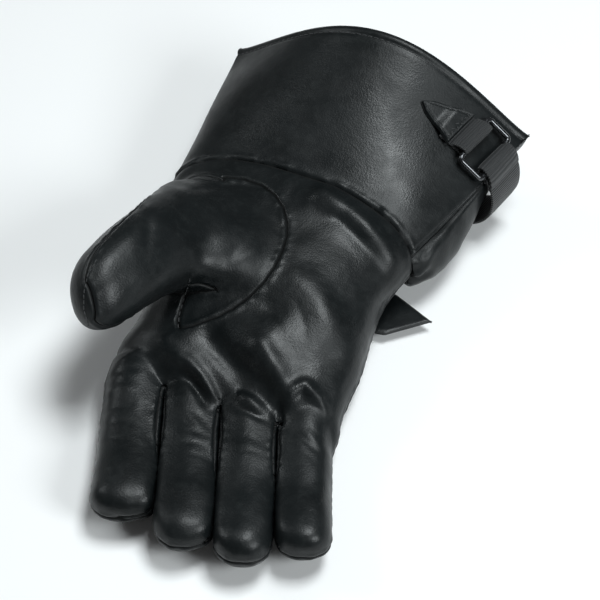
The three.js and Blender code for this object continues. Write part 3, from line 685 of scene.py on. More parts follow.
def wall(outer, inner):
    """A closed wall between two grids of points: points and faces."""
    rows, columns = outer.shape[:2]
    skin = rows * columns
    points = np.vstack([outer.reshape(-1, 3), inner.reshape(-1, 3)])
    i, j = np.meshgrid(np.arange(rows - 1), np.arange(columns - 1), indexing="ij")
    a = (i * columns + j).ravel()
    front = np.stack([a, a + 1, a + columns + 1, a + columns], -1)
    j, i = np.arange(columns - 1), np.arange(rows - 1)
    edge = np.concatenate([
        j,
        i * columns + columns - 1,
        (rows - 1) * columns + (columns - 1 - j),
        (rows - 1 - i) * columns,
    ])
    after = np.roll(edge, -1)
    side = np.stack([after, edge, edge + skin, after + skin], -1)
    return points, np.vstack([front, front[:, ::-1] + skin, side])


def sheet_facts(outer):
    """The direction out of a grid of points, and how far each point lies from the grid's edge."""
    du = np.gradient(outer, axis=1)
    dv = np.gradient(outer, axis=0)
    n = unit(np.cross(dv, du))
    step = np.linalg.norm(dv, axis=-1)
    across = np.linalg.norm(du, axis=-1)
    along_v = np.cumsum(step, axis=0)
    along_u = np.cumsum(across, axis=1)
    away = np.min([
        along_v - along_v[:1], along_v[-1:] - along_v, along_u - along_u[:, :1], along_u[:, -1:] - along_u,
    ], axis=0)
    return n, away


# Finishes.

def start_material(name, base, roughness, metallic=0.0):
    """A new material with its tree of nodes and its shader."""
    material = bpy.data.materials.new(name)
    material.use_nodes = True
    tree = material.node_tree
    shader = tree.nodes["Principled BSDF"]
    shader.inputs["Base Color"].default_value = (*base, 1)
    shader.inputs["Roughness"].default_value = roughness
    shader.inputs["Metallic"].default_value = metallic
    return material, tree, shader


def place_of(tree, source="Object"):
    """Coordinates on the piece: Object in metres, or UV for its own map."""
    return tree.nodes.new("ShaderNodeTexCoord").outputs[source]


def noise(tree, place, scale, detail=2.0, rough=.5, distortion=0.0):
    """Soft clouds from 0 to 1; scale is how many to a metre."""
    made = tree.nodes.new("ShaderNodeTexNoise")
    made.inputs["Scale"].default_value = scale
    made.inputs["Detail"].default_value = detail
    made.inputs["Roughness"].default_value = rough
    made.inputs["Distortion"].default_value = distortion
    tree.links.new(place, made.inputs["Vector"])
    return made.outputs["Fac"]


def cells(tree, place, scale):
    """Rounded cells, like the pebbles of a grain."""
    made = tree.nodes.new("ShaderNodeTexVoronoi")
    made.inputs["Scale"].default_value = scale
    tree.links.new(place, made.inputs["Vector"])
    return made.outputs["Distance"]


def wave(tree, place, direction, scale, distortion):
    """Ribs across a direction of the piece's map."""
    made = tree.nodes.new("ShaderNodeTexWave")
    made.bands_direction = direction
    made.inputs["Scale"].default_value = scale
    made.inputs["Distortion"].default_value = distortion
    tree.links.new(place, made.inputs["Vector"])
    return made.outputs["Fac"]


def ranged(tree, value, low, high, from_low=0.0, from_high=1.0):
    """A value stretched from one range to another, and held inside it."""
    made = tree.nodes.new("ShaderNodeMapRange")
    for key, number in (("From Min", from_low), ("From Max", from_high), ("To Min", low), ("To Max", high)):
        made.inputs[key].default_value = number
    tree.links.new(value, made.inputs["Value"])
    return made.outputs["Result"]


def sums(tree, operation, a, b):
    """ADD or MULTIPLY of two values, each a socket or a number."""
    made = tree.nodes.new("ShaderNodeMath")
    made.operation = operation
    for socket, value in zip(made.inputs, (a, b)):
        if isinstance(value, (int, float)):
            socket.default_value = value
        else:
            tree.links.new(value, socket)
    return made.outputs[0]


def blended(tree, factor, a, b):
    """A colour between two, each a socket or a colour."""
    made = tree.nodes.new("ShaderNodeMix")
    made.data_type = "RGBA"
    for socket, value in ((made.inputs[0], factor), (made.inputs[6], a), (made.inputs[7], b)):
        if isinstance(value, tuple):
            socket.default_value = (*value, 1)
        else:
            tree.links.new(value, socket)
    return made.outputs[2]


def attribute(tree, name):
    """A value that the mesh carries at its points."""
    made = tree.nodes.new("ShaderNodeAttribute")
    made.attribute_name = name
    return made.outputs["Fac"]


def toned(colour, factor):
    """A paler or darker colour."""
    return tuple(min(1, c * factor) for c in colour)


def bumps(tree, shader, layers):
    """Bump layers, each (height, distance in metres, strength), one on the other."""
    normal = None
    for height, distance, strength in layers:
        made = tree.nodes.new("ShaderNodeBump")
        made.inputs["Distance"].default_value = distance
        made.inputs["Strength"].default_value = strength
        tree.links.new(height, made.inputs["Height"])
        if normal is not None:
            tree.links.new(normal, made.inputs["Normal"])
        normal = made.outputs["Normal"]
    tree.links.new(normal, shader.inputs["Normal"])


def leather(name, look):
    """Smooth black leather with a fine grain, paler where it is rubbed, with painted shade darkening it
    beside its seams, where it is also duller.
    """
    base, worn = tuple(look.leather_colour), tuple(look.wear_colour)
    material, tree, shader = start_material(name, base, look.leather_roughness)
    place = place_of(tree)
    clouds = noise(tree, place, 28, 3, .55, .3)
    streaks = noise(tree, place, 240, 4, .6, .6)
    pebbles = cells(tree, place, 1150)
    pores = noise(tree, place, 2600, 1, .5)
    seam_shade_and_dullness = attribute(tree, "seam")
    tint = blended(tree, ranged(tree, clouds, 0, 1, .35, .7), base, toned(base, 1.45))
    rubbed = blended(tree, ranged(tree, streaks, 0, .35, .5, .75), tint, worn)
    # Painted shade: beside seams and edges the colour is darkened to a fifth of the base, like shade in the
    # seam's groove.
    tree.links.new(blended(tree, seam_shade_and_dullness, rubbed, toned(base, .2)), shader.inputs["Base Color"])
    smoothest, dullest = look.leather_roughness - .07, look.leather_roughness + .1
    rough = ranged(tree, noise(tree, place, 60, 4, .6), smoothest, dullest, .3, .7)
    # Beside seams the leather is also duller, which is roughness and not painted.
    rough = sums(tree, "ADD", rough, sums(tree, "MULTIPLY", seam_shade_and_dullness, .4))
    tree.links.new(rough, shader.inputs["Roughness"])
    bumps(tree, shader, [
        (noise(tree, place, 95, 3, .5, .4), .0004, .35),
        (streaks, .00018, .4),
        (pebbles, .00009, .55),
        (pores, .00004, .5),
    ])
    shader.inputs["Specular IOR Level"].default_value = .28
    return material


def thread(name, look):
    """Dull black thread."""
    base = tuple(look.thread_colour)
    material, tree, shader = start_material(name, base, .6)
    place = place_of(tree)
    tint = blended(tree, noise(tree, place, 900, 2), base, toned(base, 2))
    tree.links.new(tint, shader.inputs["Base Color"])
    bumps(tree, shader, [(noise(tree, place, 4000, 1), .00005, .6)])
    shader.inputs["Sheen Weight"].default_value = .2
    return material


def woven(name, look):
    """Webbing: ribs across the band with a fine weave, on the band's own map in millimetres."""
    base = tuple(look.webbing_colour)
    material, tree, shader = start_material(name, base, .62)
    place = place_of(tree, "UV")
    rib, warp = wave(tree, place, "X", .26, .3), wave(tree, place, "Y", .42, .4)
    height = sums(tree, "MULTIPLY", rib, ranged(tree, warp, .45, 1))
    tint = blended(tree, ranged(tree, height, 0, 1, .2, .9), base, toned(base, 1.3))
    tree.links.new(tint, shader.inputs["Base Color"])
    tree.links.new(ranged(tree, height, .7, .5), shader.inputs["Roughness"])
    bumps(tree, shader, [(height, .0004, .9), (noise(tree, place_of(tree), 2200, 1), .00006, .6)])
    shader.inputs["Sheen Weight"].default_value = .1
    return material


def metal(name, look):
    """Glossy blackened metal with paler worn places."""
    base = tuple(look.buckle_colour)
    material, tree, shader = start_material(name, base, .22, .85)
    place = place_of(tree)
    worn = ranged(tree, noise(tree, place, 180, 3, .6), 0, .6, .55, .8)
    tree.links.new(blended(tree, worn, base, toned(base, 2.5)), shader.inputs["Base Color"])
    tree.links.new(ranged(tree, noise(tree, place, 500, 3), .16, .3), shader.inputs["Roughness"])
    bumps(tree, shader, [(noise(tree, place, 700, 2), .00003, .3)])
    shader.inputs["Coat Weight"].default_value = .4
    shader.inputs["Coat Roughness"].default_value = .12
    return material


def finish(obj, material, slot, *nodes):
    """Gives a piece its material and its place in the glove."""
    obj.data.materials.clear()
    obj.data.materials.append(material)
    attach(obj, "root")
    if nodes:
        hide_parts(*nodes)


def finish_of(name, builder, look):
    """A finish by name, made once."""
    return bpy.data.materials.get(name) or builder(name, look)


# Stitches.

# A stitch from end to end: share of its length from its middle, thickness, and height in radii.
STITCH_PROFILE = [(-.5, .35, -.5), (-.38, .85, .1), (0, 1, .35), (.38, .85, .1), (.5, .35, -.5)]
STITCH_SIDES = 6
SEWN = []  # lines of stitches: points, normals, size as a share of the usual length and pitch, radius


def sew(points, normal, size=1, radius=.28, rise=.12):
    """Notes a line on the leather that is to be stitched."""
    SEWN.append((points + normal * rise, normal, size, radius))


def stitches(line, normal, length, pitch, radius):
    """Short rounded stitches along a line on a surface: points and faces."""
    steps = np.linalg.norm(np.diff(line, axis=0), axis=1)
    reach = np.concatenate([[0], np.cumsum(steps)])
    centres = np.arange(pitch / 2, reach[-1], pitch)

    def at(where, values):
        return np.stack([np.interp(where, reach, values[:, k]) for k in range(3)], -1)

    mid, n = at(centres, line), unit(at(centres, normal))
    near = .4
    way = unit(at(np.minimum(centres + near, reach[-1]), line) - at(np.maximum(centres - near, 0), line))
    side = unit(np.cross(n, way))
    n = np.cross(way, side)
    sides = STITCH_SIDES
    angle = np.arange(sides) / sides * 2 * math.pi
    points, faces = [], []
    for share, size, lift in STITCH_PROFILE:
        c = mid + way * (share * length) + n * (lift * radius)
        round_ = np.cos(angle)[None, :, None] * side[:, None] + np.sin(angle)[None, :, None] * n[:, None]
        points.append(c[:, None] + radius * size * round_)
    points = np.stack(points, 1)
    count, rows = points.shape[:2]
    i, j = np.meshgrid(np.arange(rows - 1), np.arange(sides), indexing="ij")
    a, b = i * sides + j, i * sides + (j + 1) % sides
    quads = np.stack([a, b, b + sides, a + sides], -1).reshape(-1, 4)
    caps = [tuple(reversed(range(sides))), tuple((rows - 1) * sides + k for k in range(sides))]
    for s in range(count):
        offset = s * rows * sides
        faces += [tuple(int(k) + offset for k in q) for q in quads]
        faces += [tuple(k + offset for k in cap) for cap in caps]
    return points.reshape(-1, 3), faces


# Settings.

class GloveSizes(bpy.types.PropertyGroup):
    """Sizes that may be changed."""
    wall: bpy.props.FloatProperty(
        name="Leather Wall", description="Thickness of the hand's leather panels",
        default=.0016, min=.001, max=.003, unit="LENGTH")
    facet: bpy.props.FloatProperty(
        name="Facet Size", description="Width of the small faces of the leather",
        default=.0012, min=.0008, max=.004, unit="LENGTH")
    seam_depth: bpy.props.FloatProperty(
        name="Seam Depth", description="How deep the sewn seams sink into the leather",
        default=.0009, min=0, max=.003, unit="LENGTH")
    seam_swell: bpy.props.FloatProperty(
        name="Seam Swell", description="How far the leather swells beside a seam",
        default=.0003, min=0, max=.002, unit="LENGTH")
    crease_height: bpy.props.FloatProperty(
        name="Crease Height", description="How strong the folds and creases of the palm are",
        default=1, min=0, max=2, subtype="FACTOR")
    stitch_length: bpy.props.FloatProperty(
        name="Stitch Length", description="Length of one stitch",
        default=.0024, min=.001, max=.006, unit="LENGTH")
    stitch_pitch: bpy.props.FloatProperty(
        name="Stitch Pitch", description="Distance from one stitch to the next",
        default=.0032, min=.0015, max=.008, unit="LENGTH")


class GloveLook(bpy.types.PropertyGroup):
    """Colours and finishes that may be changed."""
    leather_colour: bpy.props.FloatVectorProperty(
        name="Leather Colour", description="Colour of the leather",
        default=(.0036, .0048, .0052), min=0, max=1, size=3, subtype="COLOR")
    wear_colour: bpy.props.FloatVectorProperty(
        name="Wear Colour", description="Colour of the leather where it is rubbed",
        default=(.016, .019, .019), min=0, max=1, size=3, subtype="COLOR")
    leather_roughness: bpy.props.FloatProperty(
        name="Leather Roughness", description="How dull the leather is",
        default=.38, min=0, max=1, subtype="FACTOR")
    thread_colour: bpy.props.FloatVectorProperty(
        name="Thread Colour", description="Colour of the sewing thread",
        default=(.01, .011, .012), min=0, max=1, size=3, subtype="COLOR")
    webbing_colour: bpy.props.FloatVectorProperty(
        name="Webbing Colour", description="Colour of the woven strap",
        default=(.007, .008, .009), min=0, max=1, size=3, subtype="COLOR")
    buckle_colour: bpy.props.FloatVectorProperty(
        name="Buckle Colour", description="Colour of the metal buckle",
        default=(.05, .052, .056), min=0, max=1, size=3, subtype="COLOR")


# What the picture shows, laid onto the glove.

def picture_axes():
    """The camera's place and its back, right and up directions, in the tables' frame."""
    a, e = math.radians(AZIMUTH), math.radians(ELEVATION)
    back = np.array([math.sin(a) * math.cos(e), -math.cos(a) * math.cos(e), math.sin(e)])
    right = np.array([math.cos(a), math.sin(a), 0])
    return np.array(LOOK_AT) + back * DISTANCE + MIDDLE, back, right, np.cross(back, right)


def in_picture(p):
    """Pixels of the picture at which points are seen."""
    eye, back, right, up = picture_axes()
    away = p - eye
    depth = -(away @ back) * PIXEL
    return np.stack([PICTURE / 2 + away @ right / depth, PICTURE / 2 - away @ up / depth], -1)


def outline_field(p, n, pixels, lowest):
    """Above 0 inside an outline of pixels on what faces the camera, in millimetres of the picture."""
    eye, _, _, _ = picture_axes()
    seen = in_picture(p)
    corners = np.array(pixels, float)
    away, _ = line_distance(seen, np.vstack([corners, corners[:1]]))
    inside = np.zeros(len(p), bool)
    for (x0, y0), (x1, y1) in zip(corners, np.roll(corners, -1, axis=0)):
        crosses = (y0 > seen[:, 1]) != (y1 > seen[:, 1])
        at = x0 + (seen[:, 1] - y0) * (x1 - x0) / ((y1 - y0) or 1e-9)
        inside ^= crosses & (seen[:, 0] < at)
    field = np.where(inside, away, -away) * PIXEL * DISTANCE
    facing = np.einsum("ij,ij->i", n, unit(eye - p))
    return np.where((facing > .1) & (p[:, 2] > lowest), field, -20)


def drawn_on(tree, pixels):
    """The line on a surface that a line of pixels shows."""
    eye, back, right, up = picture_axes()
    pixels = np.array(pixels, float)
    reach = np.concatenate([[0], np.cumsum(np.linalg.norm(np.diff(pixels, axis=0), axis=1))])
    where = np.linspace(0, reach[-1], 4 * len(pixels))
    found, facing = [], []
    for x, y in zip(np.interp(where, reach, pixels[:, 0]), np.interp(where, reach, pixels[:, 1])):
        way = -back + right * (x - PICTURE / 2) * PIXEL + up * (PICTURE / 2 - y) * PIXEL
        hit, normal, _, _ = tree.ray_cast(Vector(eye), Vector(unit(way)))
        if hit is not None:
            found.append(np.array(hit))
            facing.append(np.array(normal))
    return np.array(found), np.array(facing)


# The hand.

def hand_skin(sizes):
    """The closed outside of hand, fingers and thumb as points and triangles."""
    step = sizes.facet * 1000
    girths = (300, 82, 140)  # millimetres round the hand, a finger and the thumb
    round_hand, round_finger, round_thumb = (int(girth / step) for girth in girths)
    at = np.linspace(0, HAND["at"][-1], int(PALM_LENGTH / step))[:, None]
    hand = hand_points(at, ring(round_hand)[None])
    # Three rings past the wrist, so that the skin can be cut off at its seam.
    beyond = hand[:1] + np.array([0, 6, 0]) * np.arange(3, 0, -1)[:, None, None]
    forms = [tube(np.concatenate([beyond, hand]))]
    forms += [tube(finger_points(f, round_finger, step)) for f in FINGERS]
    forms.append(tube(thumb_points(round_thumb, step)))
    whole = make("whole", *forms[0])
    for form in forms[1:]:
        other = make("other", *form)
        joint = whole.modifiers.new("join", "BOOLEAN")
        joint.operation, joint.solver, joint.object = "UNION", "MANIFOLD", other
        select(whole)
        bpy.ops.object.modifier_apply(modifier=joint.name)
        bpy.data.objects.remove(other)
    select(whole)
    bpy.ops.object.mode_set(mode="EDIT")
    bpy.ops.mesh.select_all(action="SELECT")
    bpy.ops.mesh.remove_doubles(threshold=.0003)
    bpy.ops.mesh.quads_convert_to_tris()
    bpy.ops.object.mode_set(mode="OBJECT")
    p, tris = mesh_arrays(whole)
    bpy.data.objects.remove(whole)
    hands = [BVHTree.FromPolygons(q.tolist(), t.tolist()) for q, t in forms]
    return p, tris, hands


def away_from(tree, p):
    """Distance of points from a surface."""
    return np.array([tree.find_nearest(v)[3] for v in p.tolist()])


def seam_samples(p, tris, part, every=.2):
    """Points close together along the edges where two parts meet, and along open edges."""
    edges = edges_of(tris)
    owner = np.tile(part, 3)
    order = np.lexsort((edges[:, 1], edges[:, 0]))
    edges, owner = edges[order], owner[order]
    same = (edges[1:] == edges[:-1]).all(axis=1)
    shared = np.zeros(len(edges), bool)
    shared[1:] |= same
    shared[:-1] |= same
    between = edges[1:][same & (owner[1:] != owner[:-1])]
    found = []
    for chosen in (between, edges[~shared]):
        points = []
        for a, b in p[chosen]:
            count = int(np.linalg.norm(b - a) / every) + 2
            points.append(a + np.linspace(0, 1, count)[:, None] * (b - a))
        found.append(np.vstack(points))
    return found


def reach_of(samples):
    """A function that gives the distance of points from samples."""
    tree = KDTree(len(samples))
    for i, v in enumerate(samples):
        tree.insert(v, i)
    tree.balance()
    return lambda p: np.array([tree.find(v)[2] for v in p])


def close_between(left, right, p, touch=.25, drawn=9.5):
    """Points moved across so that two fingers touch where they lie side by side.

    touch is how near to the line between the fingers the points come, and drawn is how far from it
    points are moved at all, in millimetres.
    """
    sides = []
    for finger, way in ((left, 1), (right, -1)):
        _, root_x, root_y, length, width, yaw = finger
        a = math.radians(yaw)
        reach = (root_y * PALM_WIDTH - p[:, 1]) / math.cos(a)
        at = np.clip(reach / (length * FINGER_LENGTH), -.24, 1)
        half = along(FINGER, "width", at) * width * FINGER_WIDTH / 2
        sides.append(root_x * PALM_WIDTH + math.sin(a) * reach + way * half / math.cos(a))
    u = p[:, 0] - (sides[0] + sides[1]) / 2
    share = -p[:, 1] / (min(left[3], right[3]) * FINGER_LENGTH)
    weight = smoothstep(share, -.14, -.04) * (1 - smoothstep(share, .78, 1))
    close = 1 - smoothstep(np.abs(u), 0, drawn)
    shift = np.maximum(0, np.abs(u) - touch) * close * weight
    p = p.copy()
    p[:, 0] -= np.sign(u) * shift
    return p


def softened(p, tris, trees):
    """The skin with the places where its forms meet rounded off, and the fingers drawn together."""
    at_thumb, at_roots, at_tips = 7, 3.5, 12  # how far the rounding reaches, in millimetres
    away = np.stack([away_from(tree, p) for tree in trees])
    thumb_meet = np.maximum(away[-1], np.min(away[:-1], axis=0))
    p = relax(p, tris, .5 * np.exp(-(thumb_meet / at_thumb) ** 2), 36)
    p = relax(p, tris, .5 * np.exp(-(np.sort(away, axis=0)[1] / at_roots) ** 2), 12)
    tips = np.array([finger_foot(finger, np.array(.97)) for finger in FINGERS])
    tip = np.min(np.linalg.norm(p[:, None, :2] - tips[:, :2], axis=2), axis=1)
    p = relax(p, tris, .5 * np.exp(-(tip / at_tips) ** 4), 22)
    p = relax(p, tris, .3, 2)
    for left, right in PAIRS:
        p = close_between(left, right, p)
    return p


def thumb_side(q, trees):
    """Above 0 where points lie nearer to the thumb's form than to any other."""
    return np.min([away_from(tree, q) for tree in trees[:-1]], axis=0) - away_from(trees[-1], q)


def keystone_side(q, n, trees):
    """Above 0 on the thumb and on its keystone in the palm."""
    return np.maximum(thumb_side(q, trees), outline_field(q, n, KEYSTONE, .5 * PALM_HEIGHT))


def thumb_face(q):
    """Above 0 on the front half of the thumb."""
    at, up = thumb_local(q)
    return np.minimum(up, (THUMB_FRONT_END - at) * THUMB_LENGTH)


def beyond_wrist(q):
    """How far points lie past the wrist seam."""
    across = q[:, 0] - HAND["side"][0] * PALM_WIDTH
    over = np.clip((q[:, 2] - HAND["seam"][0] * PALM_HEIGHT) / (HAND["top"][0] * PALM_HEIGHT), 0, 1)
    wrist = PALM_LENGTH + across * math.tan(math.radians(HAND["turn"][0])) + WRIST_BOW * over**1.5
    return q[:, 1] - wrist


def panels_of(p, tris, trees):
    """The place in HAND_PIECES of the panel that each triangle belongs to."""
    middle = p[tris].mean(axis=1)
    part = np.where(middle[:, 2] > seam_height(middle[:, 1]), 0, 1)
    for k, pair in enumerate(PAIRS):
        part[strip_field(*pair, middle) > 0] = 2 + k
    front, back = len(HAND_PIECES) - 2, len(HAND_PIECES) - 1
    on_thumb = thumb_side(middle, trees) > 0
    part[keystone_side(middle, unit(facing_of(p, tris)), trees) > 0] = front
    part[on_thumb] = np.where(thumb_face(middle[on_thumb]) > 0, front, back)
    return part


def crease_lift(p, n, surface):
    """Height of the folds and creases that the picture shows."""
    lift = np.zeros(len(p))
    for _, width, height, pixels in CREASES:
        line, facing = drawn_on(surface, pixels)
        far, share = line_distance(p, line)
        same = np.clip(n @ unit(facing.mean(axis=0)) * 2, 0, 1)
        ends = np.sin(math.pi * np.clip(share, .02, .98)) ** .6
        lift += height * ends * same * np.exp(-(far / width) ** 2)
    return lift


def make_hand(sizes, look):
    """The leather of palm, back, finger strips and thumb: one skin, cut along its seams."""
    p, tris, trees = hand_skin(sizes)
    p = softened(p, tris, trees)
    p, tris = split_at(p, tris, beyond_wrist(p))
    tris = tris[beyond_wrist(p[tris].mean(axis=1)) < 0]
    p, tris = used(p, tris)
    p, tris = split_at(p, tris, keystone_side(p, normals(p, tris), trees))
    strips = [lambda q, pair=pair: strip_field(*pair, q) for pair in PAIRS]
    for cut in [thumb_face, lambda q: q[:, 2] - seam_height(q[:, 1]), *strips]:
        p, tris = split_at(p, tris, cut(p))
    sewn, open_edge = seam_samples(p, tris, panels_of(p, tris, trees))
    from_seam, from_edge = reach_of(sewn), reach_of(open_edge)
    for distance in SEAM_CUTS:
        p, tris = split_at(p, tris, from_seam(p) - distance)
    part = panels_of(p, tris, trees)
    away, edge_away = from_seam(p), from_edge(p)
    n = normals(p, tris)
    surface = BVHTree.FromPolygons(p.tolist(), tris.tolist())
    lift = crease_lift(p, n, surface) * sizes.crease_height
    # The leather's own unevenness, broad and fine, and the puckers beside its seams.
    lift += .12 * soft_noise(p, 19, 3) + .025 * soft_noise(p, 6, 4)
    pucker = 1 + .45 * soft_noise(p, 6, 5)
    lift += pucker * ridge(away, (SEAM_SWELL_AT, SEAM_SWELL_WIDTH, sizes.seam_swell * 1000))
    lift += ridge(away, (0, SEAM_WIDTH, -sizes.seam_depth * 1000))
    lift += ridge(edge_away, HAND_EDGE_SWELL) + ridge(edge_away, HAND_EDGE_GROOVE)
    crotch, _ = drawn_on(surface, CROTCH_SEAM)
    lift += ridge(line_distance(p, crotch)[0], CROTCH_GROOVE)
    p = p + n * lift[:, None]
    p[:, 2] = np.maximum(p[:, 2], 0)
    # Painted shade: near seams and open edges the leather's colour is darkened, and its roughness raised,
    # through the seam attribute.
    near = np.exp(-(np.minimum(away, edge_away) / SEAM_SHADE) ** 2)
    surface = BVHTree.FromPolygons(p.tolist(), tris.tolist())
    for pixels, size in ((CROTCH_SEAM, 1.1), (THUMB_TOPSTITCH, .8)):
        sew(*drawn_on(surface, pixels), size, .25)
    material = finish_of("black_leather", leather, look)
    for k, (name, solid) in enumerate(HAND_PIECES):
        q, t, seam = used(p, tris[part == k], near)
        obj = make(name, q, t, {"seam": seam})
        thicken = obj.modifiers.new("wall", "SOLIDIFY")
        thicken.thickness, thicken.offset, thicken.use_rim = sizes.wall, -1, True
        select(obj)
        bpy.ops.object.modifier_apply(modifier=thicken.name)
        bpy.ops.object.shade_smooth_by_angle(angle=math.radians(SHARP_ON_HAND))
        finish(obj, material, "glove_leather", solid)


# The cuff.

def cuff_sheet(name, outer, thickness, held=0.0, way_out=None):
    """A leather wall of a grid of outside points; its edges are rounded, less so where held is near 1.

    way_out is the direction of the wall's outside, for a grid that is too fine in places to show it itself.
    """
    n, away = sheet_facts(outer)
    n = n if way_out is None else way_out
    rolled = .45 * thickness * np.exp(-(away / (.5 * thickness)) ** 2) * (1 - held)
    points, faces = wall(outer - n * rolled[..., None], outer - n * (thickness - rolled)[..., None])
    # Painted shade: the sheet's edges get a darker colour, and are duller, fully outside and a little on the
    # inside.
    seam = ridge(away, (0, .6, .5)).ravel()
    obj = make(name, points, faces, {"seam": np.concatenate([seam, seam * .3])})
    outwards(obj)
    return obj, n


def gusset_push(angle, share):
    """How far the gusset bulges out."""
    start, end = along(EDGES, "back", share), along(EDGES, "fold", share)
    t = np.clip((np.degrees(angle) - start) / (end - start), 0, 1)
    return along(GUSSET, "push", share) * CUFF_WIDTH * np.sin(math.pi * t)


# The cuff's pieces, the solids that they stand for, their edges and their bulge.
CUFF_PIECES = [
    ("cuff_palm_leather", "cuff_palm_panel", "palm", "thumb", None),
    ("cuff_back_leather", "cuff_back_panel", "thumb", "back", None),
    ("gusset_leather", "cuff_gusset", "back", "fold", gusset_push),
]


def cuff_grid(first, second, facet, push):
    """Points between two edges of the cuff, and their shares of its length and of the way across."""
    usual_round = 420  # millimetres round the cuff, which tells how many columns a grid needs
    share = np.linspace(0, 1, int(CUFF_LENGTH / facet))[:, None]
    start, end = along(EDGES, first, share) - EDGE_LAP, along(EDGES, second, share) + EDGE_LAP
    columns = int(np.abs(np.mean(end - start)) / 360 * usual_round / facet)
    t = np.linspace(0, 1, columns)[None]
    return cuff_points(np.radians(mix(start, end, t)), share, 0, push), share, t


def cuff_lift(first, flat, t, away, from_rim, from_wrist, from_side):
    """Height of the unevenness, the hems and the gathers of one of the cuff's pieces."""

    def uneven(size, seed):
        return soft_noise(flat, size, seed).reshape(t.shape)

    lift = .3 * uneven(60, 11) * smoothstep(away, 0, 8)
    lift += ridge(from_rim, HEM_GROOVE)
    lift += ridge(from_rim, HEM_SWELL)
    lift += ridge(from_wrist, WRIST_SWELL) * (1 + .5 * uneven(6, 13))
    if first == "palm":
        lift += ridge(from_side, HEM_GROOVE)
        lift += ridge(from_side, SIDE_SWELL)
    if first == "back":
        gather = np.sin(t * 17 + 2 * uneven(22, 15))
        lift += gather * ridge(from_wrist, (0, 12, .9))
        lift += uneven(16, 16) * ridge(from_wrist, (25, 22, .25))
    return lift


def make_cuff(sizes, look):
    """The cuff's panels and its gusset, with their hems."""
    material = finish_of("black_leather", leather, look)
    for name, solid, first, second, push in CUFF_PIECES:
        outer, share, t = cuff_grid(first, second, sizes.facet * 1000, push)
        shape = outer.shape[:2]
        n, away = sheet_facts(outer)
        t = np.broadcast_to(t, shape)
        from_rim = np.broadcast_to((1 - share) * CUFF_LENGTH, shape)
        from_wrist = np.broadcast_to(share * CUFF_LENGTH, shape)
        from_side = t * np.linalg.norm(np.diff(outer, axis=1), axis=-1).sum(axis=1)[:, None]
        lift = cuff_lift(first, outer.reshape(-1, 3), t, away, from_rim, from_wrist, from_side)
        outer = outer + n * lift[..., None]
        outer[..., 2] = np.maximum(outer[..., 2], 0)
        # The palm and back panels meet edge to edge on the thumb side.
        from_thumb = from_side if first == "thumb" else from_side[:, -1:] - from_side
        held = ridge(from_thumb, (0, 3, .8)) if "thumb" in (first, second) else 0.0
        obj, n = cuff_sheet(name, outer, LEATHER, held, n)
        finish(obj, material, "glove_leather", solid)
        # Stitches round the rim and along the free side.
        row = int(np.argmin(np.abs(from_rim[:, 0] - HEM_STITCHES)))
        stop = int(np.argmax(from_side[row] > HEM_STITCHES)) if first == "palm" else 0
        sew(outer[row, stop:], n[row, stop:])
        if first == "palm":
            rows = np.arange(int(row * .45), row + 1)
            columns = [int(np.argmin(np.abs(from_side[i] - HEM_STITCHES))) for i in rows]
            sew(outer[rows, columns], n[rows, columns])


# The straps and the buckle.

def band(path, width, thickness, across=9, step=.8):
    """A flat band along a path of places on the cuff, each (reach, height): points, faces and map."""
    path = np.array(path, float)
    reach = np.concatenate([[0], np.cumsum(np.linalg.norm(np.diff(path, axis=0), axis=1))])
    smooth = {"at": reach, "reach": path[:, 0], "height": path[:, 1]}
    s = np.linspace(0, reach[-1], int(reach[-1] / step) + 2)
    line = np.stack([along(smooth, "reach", s), along(smooth, "height", s)], -1)
    way = unit(np.gradient(line, axis=0))
    side = np.linspace(-.5, .5, across)
    edge = 1 - .35 * np.abs(side * 2) ** 8

    def grid(offset):
        r = line[:, :1] - way[:, 1:] * offset * edge
        h = line[:, 1:] + way[:, :1] * offset * edge
        return on_cuff(r, np.broadcast_to(side * width, r.shape), h)

    points, faces = wall(grid(thickness / 2), grid(-thickness / 2))
    uv = np.stack(np.broadcast_arrays(s[:, None], side * width), -1).reshape(-1, 2)
    return points, faces, np.vstack([uv, uv])


# Places round the buckle: reach from its middle, and height above the cuff.
TAB_EDGE = -BUCKLE_LENGTH / 2 - 2 * BUCKLE_ROD
LOW = 2 * REST + WEBBING / 2
DOUBLED = LOW + WEBBING + 2 * REST
ROD_HEIGHT = 3 * REST + WEBBING + BUCKLE_ROD / 2
BEND = BUCKLE_ROD / 2 + REST + WEBBING / 2
ROD_REACH = (BUCKLE_LENGTH - BUCKLE_ROD) / 2


def bend_round(reach, toward):
    """Places of the webbing's bend round one rod of the buckle."""
    a = np.radians(np.arange(-90, 91, 30))
    return [(reach + toward * BEND * math.cos(x), ROD_HEIGHT + BEND * math.sin(x)) for x in a]


